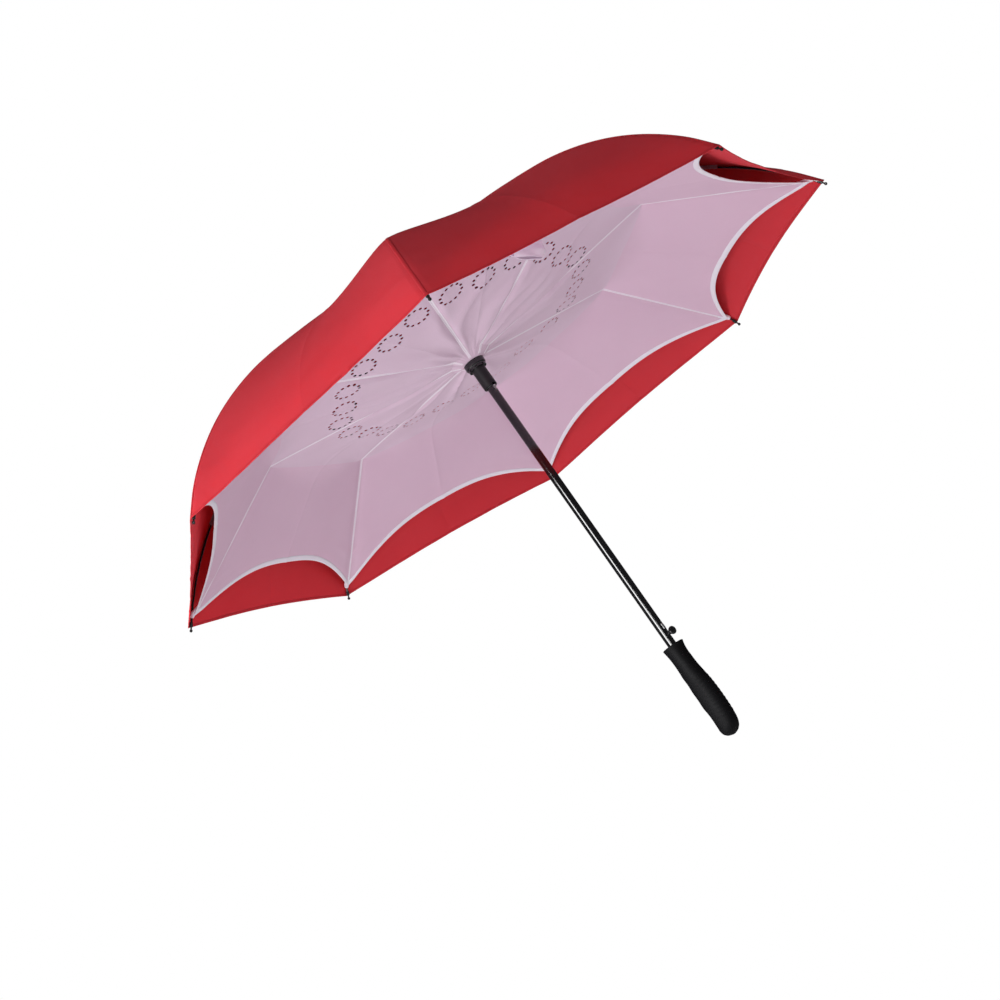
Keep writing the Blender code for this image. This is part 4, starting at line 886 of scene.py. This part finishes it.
def red_grid(reaches, sides, rib):
    reach, side = as_grid(reaches, sides)
    share = np.where(reach <= 1, reach * RED_KNEE, RED_KNEE + (reach - 1) * (1 - RED_KNEE))
    rows = read_profile(share, RED_FINE)
    hollow = 1 - np.clip(1 - np.abs(side), 0, 1) ** 2
    points = across_gore(rows[..., :2], rows[..., 2:] * (hollow**2)[..., None], side)
    beside = np.abs(points[..., 1])
    points = turned_round(points, rib)
    droop = np.array(RIM_SHIFTS)[gore_of(rib, side) - 1] * (smoothstep(reach, 1.15, 2.0) * hollow)[..., None]
    points = lifted(points, droop[..., 0], droop[..., 1], np.ones(reach.shape))
    run = read_profile(share, RED_RUN)
    return lifted(points, -run[..., 1], run[..., 0], canopy_folds(points, reach, beside))


print("red profile: knee at share", round(RED_KNEE, 3))

# %% [markdown]
# ## Panels on the ribs
# When the runner slides down, the ribs close and the cloth between them gathers. Each panel rides on
# its rib, and the cloth of a rib is cut in lengths, each with its own share. Next to the hubs a neck
# joins hub and rib.

# %% Lengths of the panels
SIDE_COLUMNS = 12
OUTER_PARTS = ("flank", "skirt")
LINING_SEAM = (0.0006, 0.0014, 0.0013, 0.0007, 0.0013, 0.0014, 0.0006)
RED_SEAM = (0.0006, 0.0012, 0.0012, 0.0009, 0.0012, 0.0012, 0.0006)
# A panel: its part, where it starts and ends, its rows and the share that it keeps.
# A seam: its name, the part that it is sewn to, where it starts and ends, its rows and half width.
# A hem: its width, its thickness, its finish and the share that it keeps.
LINING = SimpleNamespace(
    name="lining", slot="inner_canopy", surface=lining_grid, hub="runner", rib="lower_rib",
    neck=((0.0150, 0.545), (0.030, 0.553)), rests=("runner", "lower_rib"),
    cloth=LINING_INNER_PAINTED_BOUNCE, skirt=LINING_SKIRT_PAINTED_BOUNCE,
    panels=(
        ("neck", 0.0, 0.0608, 6, None),
        ("root", 0.0608, 0.22, 14, 0.60),
        ("middle", 0.22, 0.50, 16, 0.345),
        ("knee", 0.50, 1.0, 28, 0.235),
        ("skirt", 1.0, 2.0, 44, 0.32),
    ),
    seams=(
        ("neck_seam", "neck", 0.012, 0.0608, 6, 0.0022),
        ("seam", "knee", 0.0608, 1.0, 40, 0.0026),
        ("skirt_seam", "skirt", 1.0, 1.96, 40, 0.0026),
    ),
    profile=LINING_SEAM, sewn=LINING_SEWN, hem=(0.0085, 0.0011, HEM_TAPE, 0.32),
)
RED = SimpleNamespace(
    name="canopy", slot="outer_canopy", surface=red_grid, hub="frame", rib="crown_strut",
    neck=((0.0140, 0.713), (0.034, 0.706)), rests=("crown", "outer_rib"),
    cloth=RED_CLOTH, skirt=RED_CLOTH,
    panels=(
        ("neck", 0.0, 0.08, 6, None),
        ("root", 0.08, 0.22, 10, 0.40),
        ("middle", 0.22, 0.50, 12, 0.19),
        ("knee", 0.50, 1.0, 20, 0.11),
        ("flank", 1.0, 1.62, 22, 0.16),
        ("skirt", 1.62, 2.0, 20, 0.30),
    ),
    seams=(("seam", "knee", 0.10, 1.0, 30, 0.0024), ("skirt_seam", "skirt", 1.0, 1.985, 44, 0.0024)),
    profile=RED_SEAM, sewn=RED_SEWN_PAINTED_SHADE, hem=(0.004, 0.0009, RED_SEWN_PAINTED_SHADE, 0.30),
)


def side_steps(count):
    """Columns over a panel, closer together at the rib and at both edges."""
    t = np.linspace(-1, 1, 2 * count + 1)
    away = np.abs(t)
    return np.sign(t) * (0.55 * away + 0.45 * (1 - np.cos(math.pi * away)) / 2)


def reach_steps(start, end, rows):
    """Rows of a panel, closer together at both ends, so that panels meet with the same shade."""
    t = np.linspace(0, 1, rows + 1)
    return start + (end - start) * (0.3 * t + 0.7 * (1 - np.cos(math.pi * t)) / 2)


def hold(item, canopy, part, rib, keep=None):
    """A neck stays where it is made. Other pieces ride on the rib, and those with a share to keep get a mesh
    of their own.
    """
    if part == "neck":
        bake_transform(item)
        return
    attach(item, f"outer_rib_{rib}" if part in OUTER_PARTS else f"{canopy.rib}_{rib}")
    if keep:
        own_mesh(item)


print((len(LINING.panels) + len(RED.panels)) * RIBS, "panels to make")


def oval(along, beside, turns, up):
    """Points round the shaft."""
    return stacked(along * np.cos(turns), beside * np.sin(turns), up)


for canopy, inner, outer, height in (
    (LINING, 0.0096, 0.0158, LINING_HUB_HEIGHT),
    (RED, 0.0044, 0.0147, RED_HUB_HEIGHT),
):
    radius = np.linspace(inner, outer, 3)[:, None]
    ring = oval(radius, radius, np.linspace(0, 2 * math.pi, 65), height)
    disc = shell_piece(f"{canopy.name}_hub", ring, CLOTH, canopy.cloth)
    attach(disc, canopy.hub)
    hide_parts(canopy.slot)
print("hub discs made")

# %% [markdown]
# ## Hems and seams
# A cut edge is folded over and stitched, so the scallops end in a pale band. The gores are joined
# along the ribs by narrow seams, which look like two fine lines. Each is a strip of the same surface,
# a little thicker, so that it stands proud of the cloth.

# %% Strips on the canopies
SEAM_COLUMNS = np.array((-1, -0.85, -0.6, 0, 0.6, 0.85, 1))
HEM_ROWS = np.array((0.0, 0.04, 0.35, 0.65, 0.96, 1.0))[:, None]
HEM_PROFILE = np.array((0.35, 0.9, 1.0, 1.0, 1.0, 0.5))
PROUD = 0.03
SIDE_STEP = 0.2
SEWN = {}


def seam_strip(canopy, label, part, start, end, rows, half_width, rib):
    """A strip along a rib that is as wide at every reach."""
    reaches = reach_steps(start, end, rows)
    wide = canopy.surface(reaches, np.array([0.0, SIDE_STEP]), rib)
    share = half_width / (step_lengths(wide, 1) / SIDE_STEP)
    grid = canopy.surface(reaches, share * SEAM_COLUMNS, rib)
    name = f"{canopy.name}_{label}_{rib}"
    strip = shell_piece(name, grid, np.array(canopy.profile), canopy.sewn)
    hold(strip, canopy, part, rib)
    SEWN.setdefault((canopy.name, part, rib), []).append(strip)


def edge_strip(canopy, rib):
    """The folded band along a canopy's edge, with its U across it for the stitches."""
    width, thickness, finish, keep = canopy.hem
    sides = side_steps(SIDE_COLUMNS * 2)
    full = canopy.surface(np.linspace(1.5, 2, 9), sides, rib)
    length = 2 * step_lengths(full, 0).sum(axis=0)
    grid = canopy.surface(2 - (width / length) * (1 - HEM_ROWS), sides + 0 * HEM_ROWS, rib)
    grid[-1] = grid[-1] + (grid[-1] - grid[-3]) * PROUD
    name = f"{canopy.name}_hem_{rib}"
    strip = shell_piece(name, grid.transpose(1, 0, 2), thickness * HEM_PROFILE, finish)
    hold(strip, canopy, "skirt", rib, keep)
    SEWN[canopy.name, "skirt", rib].append(strip)


for rib in range(1, RIBS + 1):
    for canopy in (LINING, RED):
        for seam_row in canopy.seams:
            seam_strip(canopy, *seam_row, rib)
        edge_strip(canopy, rib)
print("hems and seams made")

# %% [markdown]
# ## Vent holes
# The lining breathes through 24 rings of small holes, three in each gore. A painted mask would do, but
# real holes let the red cloth show through, so a Boolean cuts them. The punches of one panel are
# joined first, because one cut is quicker than forty.

# %% Punches for the vents
VENT_REACH = 0.64
VENT_SIDES = (-1.0, -0.36, 0.36, 1.0)
VENT_RING = 0.0168
VENT_HOLES = 12
VENT_STEP = 0.02
HOLE_RADIUS = 0.0023
HOLE_SIDES = 14
HOLE_STRETCH = 1.12
PUNCH_LENGTH = 0.016


def vent_frame(side, rib):
    """A vent's middle, its outward and sideways directions and the lining's normal there."""
    reaches, sides = (np.array((-VENT_STEP, 0, VENT_STEP)) + middle for middle in (VENT_REACH, side))
    at = lining_grid(reaches, sides, rib)
    along = unit(at[2, 1] - at[0, 1])
    normal = unit(np.cross(along, at[1, 2] - at[1, 0]))
    return at[1, 1], along, np.cross(normal, along), normal


def punches(rib):
    """Every punch of one panel as a single mesh."""
    work = bmesh.new()
    for side in VENT_SIDES:
        middle, along, beside, normal = vent_frame(side, rib)
        for hole in range(VENT_HOLES):
            turn = 2 * math.pi * (hole + 0.5) / VENT_HOLES
            place = middle + VENT_RING * (math.cos(turn) * along + math.sin(turn) * beside)
            from_rib = math.remainder(math.atan2(place[1], place[0]) - rib_angle(rib), 2 * math.pi)
            if abs(from_rib) > HALF_TURN:
                continue
            tangent = math.cos(turn) * beside - math.sin(turn) * along
            radial = np.cross(tangent, normal)
            matrix = Matrix(np.array((tangent * HOLE_STRETCH, radial, normal)).T.tolist()).to_4x4()
            matrix.translation = place.tolist()
            bmesh.ops.create_cone(
                work, cap_ends=True, segments=HOLE_SIDES, radius1=HOLE_RADIUS, radius2=HOLE_RADIUS,
                depth=PUNCH_LENGTH, matrix=matrix,
            )
    mesh = bpy.data.meshes.new("punches")
    bmesh.ops.recalc_face_normals(work, faces=work.faces)
    work.to_mesh(mesh)
    work.free()
    return mesh


def cut_vents(item, rib):
    """Cuts a panel's holes and keeps the result as its mesh."""
    tool = bpy.data.objects.new("punches", punches(rib))
    bpy.context.scene.collection.objects.link(tool)
    cutter = item.modifiers.new("vents", "BOOLEAN")
    cutter.operation, cutter.solver, cutter.object = "DIFFERENCE", "EXACT", tool
    graph = bpy.context.evaluated_depsgraph_get()
    made = bpy.data.meshes.new_from_object(item.evaluated_get(graph))
    item.modifiers.clear()
    item.data = smoothed(made)
    bpy.data.objects.remove(tool, do_unlink=True)


print("punches ready for", len(VENT_SIDES), "vents to a panel")

# %% Make the panels
SIDES = side_steps(SIDE_COLUMNS)
for rib in range(1, RIBS + 1):
    for canopy in (LINING, RED):
        for part, start, end, rows, keep in canopy.panels:
            finish = canopy.skirt if part == "skirt" else canopy.cloth
            grid = canopy.surface(reach_steps(start, end, rows), SIDES, rib)
            item = shell_piece(f"{canopy.name}_{part}_{rib}", grid, CLOTH, finish)
            if canopy is LINING and part == "knee":
                cut_vents(item, rib)
            hold(item, canopy, part, rib, keep)
print("panels made")

# %% [markdown]
# ## Corner pockets and tie patches
# The lining's corners are sewn into flat pockets that slip over the rib tips and keep it taut. Near
# the knee a scrap of cloth ties each rod to the red canopy: a strip that dips round the rod.

# %% Pockets over the rib tips
POCKET_LENGTH = 0.024
POCKET_GAP = 0.002
POCKET_SIDES = 24
# Each row: its share of the length, its half width, and how far its top rises to the rod.
POCKET_ROWS = ((0.0, 0.0062, 0.0), (0.15, 0.0060, 0.02), (0.4, 0.0052, 0.4), (0.6, 0.0045, 0.8),
               (0.8, 0.0040, 1.0), (0.92, 0.0034, 1.0), (0.98, 0.0024, 0.9), (1.0, 0.0014, 0.7))


def section(middle, up, beside, above, rib):
    """Points of a section across a rod, from its middle line."""
    return turned_round(stacked(middle[0] + up[0] * above, beside, middle[1] + up[1] * above), rib)


def pocket_rings(rib):
    """Flat rings that lie on the lining and wrap the rod."""
    turns = 2 * math.pi * np.arange(POCKET_SIDES) / POCKET_SIDES
    end = 1 - (LINING_CORNER_BACK - POCKET_GAP) / ROD_LENGTH
    line = (CORNER - KNEE_POINT) / np.hypot(*(CORNER - KNEE_POINT))
    rings = []
    for share, half_width, wrap in POCKET_ROWS:
        at, along = rod_point(end - POCKET_LENGTH / ROD_LENGTH * (1 - share))
        up = upward(along)
        below = CORNER + line * ((at - CORNER) @ line) - up * 0.0011
        above = below + up * (0.0016 + wrap * ((at - below) @ up + ROD_RADIUS - 0.0008))
        lift = (above - below) / 2 @ up * np.sin(turns)
        rings.append(section((below + above) / 2, up, half_width * np.cos(turns), lift, rib))
    return rings


for rib in range(1, RIBS + 1):
    pocket = loft_piece(f"lining_pocket_{rib}", pocket_rings(rib), HEM_TAPE)
    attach(pocket, f"outer_rib_{rib}")
print("pockets over", RIBS, "tips")

# %% Tie patches round the rods
PATCH_MIDDLE = 0.455
PATCH_SPAN = 0.085
PATCH_ROWS = 12
# The patch's section in millimetres, as (beside the rod, above it).
PATCH_DIP = ((-5.0, 1.2), (-4.0, 1.3), (-2.9, 0.9), (-2.1, -0.3), (-1.4, -1.6), (0, -2.2),
             (1.4, -1.6), (2.1, -0.3), (2.9, 0.9), (4.0, 1.3), (5.0, 1.2))


def patch_grid(rib):
    """Rows along the rod, each a little higher or lower than the last."""
    rows = []
    for row in range(PATCH_ROWS + 1):
        at, along = rod_point(PATCH_MIDDLE + PATCH_SPAN * (row / PATCH_ROWS - 0.5))
        beside, above = np.array(PATCH_DIP).T / 1000
        above = above + 0.0002 * math.sin(2.1 * row + rib)
        rows.append(section(at, upward(along), beside, above, rib))
    return np.array(rows)


for rib in range(1, RIBS + 1):
    grid = patch_grid(rib)
    patch = shell_piece(f"tie_patch_{rib}", grid, CLOTH, PATCH_CLOTH)
    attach(patch, f"outer_rib_{rib}")
print("tie patches round", RIBS, "rods")

# %% [markdown]
# ## The closing strap
# A pale ribbon hangs folded from the lining beside rib 1, to be wrapped round the closed umbrella: it
# runs down, round a small loop and part way up. A ribbon that was folded in a pocket isn't flat, so it
# narrows at its top, cups across its width and has soft dents.

# %% Strap
STRAP_AZIMUTH = math.radians(-17)
STRAP_LEAN = math.radians(58)
STRAP_PLACE = (0.232, 0.5805)
STRAP_WIDTH = 0.0235
STRAP_COLUMNS = 15
STRAP_ROWS = 96
STRAP_DROP = 0.052
STRAP_RETURN = 0.036
STRAP_LOOP = 0.0042
STRAP_WAVE = 0.0016
STRAP_CUP = 0.0022
STRAP_THICKNESS = 0.0007


def strap_line():
    """The ribbon's middle line in its own plane as (outward, up)."""
    share = np.linspace(0, 1, 11)
    down = stacked(STRAP_WAVE * np.sin(2 * math.pi * share), -STRAP_DROP * share)
    turn = math.pi + math.pi * np.linspace(0, 1, 7)[1:]
    loop = stacked(STRAP_LOOP + STRAP_LOOP * np.cos(turn), STRAP_LOOP * np.sin(turn) - STRAP_DROP)
    share = share[1:]
    lean = 2 * STRAP_LOOP + STRAP_WAVE * np.sin(math.pi * share) - STRAP_LOOP * share / 2
    back = stacked(lean, STRAP_RETURN * share - STRAP_DROP)
    return smooth_line(np.concatenate([down, loop, back]), STRAP_ROWS)


def strap_grid():
    """The ribbon in its place, narrowed at its top, cupped and a little dented."""
    line = strap_line()
    run = unit(np.gradient(line, axis=0))
    share = np.linspace(0, 1, len(line))[:, None]
    across = np.linspace(-1, 1, STRAP_COLUMNS)[None, :]
    half = STRAP_WIDTH / 2 * (0.62 + 0.42 * smoothstep(share, 0.02, 0.30) - 0.04 * share)
    cup = STRAP_CUP * (across**2 - 0.4) * smoothstep(share, 0.02, 0.2)
    dents = waves(stacked(across * 1.5, share * 5, 0.0), 1.0, 3.7)
    cup = cup + STRAP_CUP * dents * smoothstep(share, 0.03, 0.15)
    skew = 0.0035 * window(share, 0.2, 0.6, 0.6, 1.0)
    outward = STRAP_PLACE[0] + line[:, :1] - run[:, 1:] * cup
    drop = line[:, 1:] + run[:, :1] * cup
    lie = half * across + skew
    beside = lie * math.cos(STRAP_LEAN) - drop * math.sin(STRAP_LEAN)
    up = STRAP_PLACE[1] + lie * math.sin(STRAP_LEAN) + drop * math.cos(STRAP_LEAN)
    c, s = heading(STRAP_AZIMUTH)
    return stacked(c * outward - s * beside, s * outward + c * beside, up)


ribbon = strap_grid()
strap = shell_piece("closing_strap", ribbon, STRAP_THICKNESS, STRAP_RIBBON)
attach(strap, "lower_rib_1")
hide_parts("tie_strap")

# %% [markdown]
# ## The grip
# The handle is moulded rubber with a palm swell, finger hollows in front and ten fine ridges at the
# back. It is lofted from the part's table of half widths with many more sections, so that the ridges
# and the rolled lip are round.

# %% Grip
GRIP_TOP = 0.0695
GRIP_LENGTH = 0.139
GRIP_MOUTH = 0.0155
GRIP_BORE = 0.0108
BORE_DEPTH = 0.012
LIP_ROUND = 0.0006
GRIP_SIDES = 64
RIDGES = 10
RIDGE_PITCH = 0.006
RIDGE_HEIGHT = 0.0005
RIDGE_START = 0.054
RIDGE_HALF_SPREAD = math.radians(62)
GRIP_TURNS = 2 * math.pi * np.arange(GRIP_SIDES) / GRIP_SIDES
# Each row: its share of the length, and its half width at the back, in front and at the side.
GRIP_SHARES = np.array((
    (0.0, 1.0, 1.0, 1.0), (0.045, 0.88, 0.955, 0.92), (0.11, 0.82, 0.90, 0.86), (0.18, 0.86, 0.87, 0.85),
    (0.245, 0.885, 0.89, 0.86), (0.305, 0.96, 0.92, 0.89), (0.395, 1.10, 0.84, 0.93),
    (0.475, 1.19, 0.885, 0.97), (0.55, 1.23, 0.83, 0.99), (0.65, 1.24, 0.87, 1.0),
    (0.73, 1.225, 0.755, 0.985), (0.80, 1.19, 0.77, 0.96), (0.865, 1.12, 0.85, 0.93),
    (0.925, 0.93, 0.90, 0.86), (0.965, 0.65, 0.74, 0.68), (0.99, 0.33, 0.40, 0.38), (1.0, 0.08, 0.10, 0.10),
))


def grip_ring(share, scale=1.0, sink=0.0):
    """One section of the grip, with the ridge's lift on its back."""
    widths = read_smoothly(GRIP_SHARES[:, 0], GRIP_SHARES[:, 1:], np.float64(share))
    back, front, side = widths * GRIP_MOUTH * scale
    down = share * GRIP_LENGTH
    ridge = (down - RIDGE_START) / RIDGE_PITCH
    lift = RIDGE_HEIGHT * math.sin(math.pi * (ridge % 1)) ** 1.5 if 0 <= ridge <= RIDGES else 0
    away = np.abs((GRIP_TURNS + math.pi) % (2 * math.pi) - math.pi) / RIDGE_HALF_SPREAD
    swell = lift * np.sqrt(np.clip(1 - away**2, 0, 1))
    reach = np.where(np.cos(GRIP_TURNS) > 0, back + swell, front)
    return oval(reach, side + swell, GRIP_TURNS, GRIP_TOP - down - sink)


def grip_rings():
    """The bore's wall, the rolled lip, the outside and the rounded end."""
    bore = ((GRIP_BORE, BORE_DEPTH), (GRIP_BORE, LIP_ROUND), (GRIP_BORE + 0.0005, 0.0))
    rings = [oval(radius, radius, GRIP_TURNS, GRIP_TOP - sink) for radius, sink in bore]
    rings += [grip_ring(0, 0.965), grip_ring(0, 0.99, 0.0002)]
    first, last = RIDGE_START / GRIP_LENGTH, (RIDGE_START + RIDGES * RIDGE_PITCH) / GRIP_LENGTH
    spans = ((0.012, first, 40), (first, last, RIDGES * 10 + 1), (last, 0.95, 18))
    shares = [0.005, *(share for span in spans for share in np.linspace(*span)[:-1])]
    shares += list(np.linspace(0.95, 1.0, 14))
    return rings + [grip_ring(share) for share in shares]


grip = loft_piece("rubber_grip", grip_rings(), HARD["grip_rubber"])
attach(grip, "frame")
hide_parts("handle_grip")
print("grip with", len(grip.data.polygons), "faces")

# %% [markdown]
# ## The floor and the last lines
# The floor isn't part of the umbrella. It is a round disc that stays out of the photograph's view.

# %% Floor and finish
FLOOR_HEIGHT = -0.75
FLOOR_RADIUS = 1.35
FLOOR_SIDES = 96
FLOOR_GLOW = 0.12
FLOOR_GLOW_SEEN = 0.45


def floor_finish():
    """Pale and matt, with a little glow, and more of it for the camera."""
    made = hard_finish("pale_floor", (0.90, 0.90, 0.90), 0.6, 0.8, grain=40.0, dust=0.0)
    tree = made.node_tree
    seen = tree.nodes.new("ShaderNodeLightPath").outputs["Is Camera Ray"]
    glow = math_node(tree, "MULTIPLY_ADD", seen, FLOOR_GLOW_SEEN - FLOOR_GLOW, FLOOR_GLOW)
    feed(tree, tree.nodes["Principled BSDF"].inputs, {"Emission Color": WHITE, "Emission Strength": glow})
    return made


floor_turns = 2 * math.pi * np.arange(FLOOR_SIDES) / FLOOR_SIDES
floor_rim = oval(FLOOR_RADIUS, FLOOR_RADIUS, floor_turns, FLOOR_HEIGHT)
floor_mesh = bpy.data.meshes.new("floor")
floor_mesh.from_pydata(floor_rim.tolist(), [], [tuple(range(FLOOR_SIDES))])
floor = add_piece("floor", floor_mesh, floor_finish())
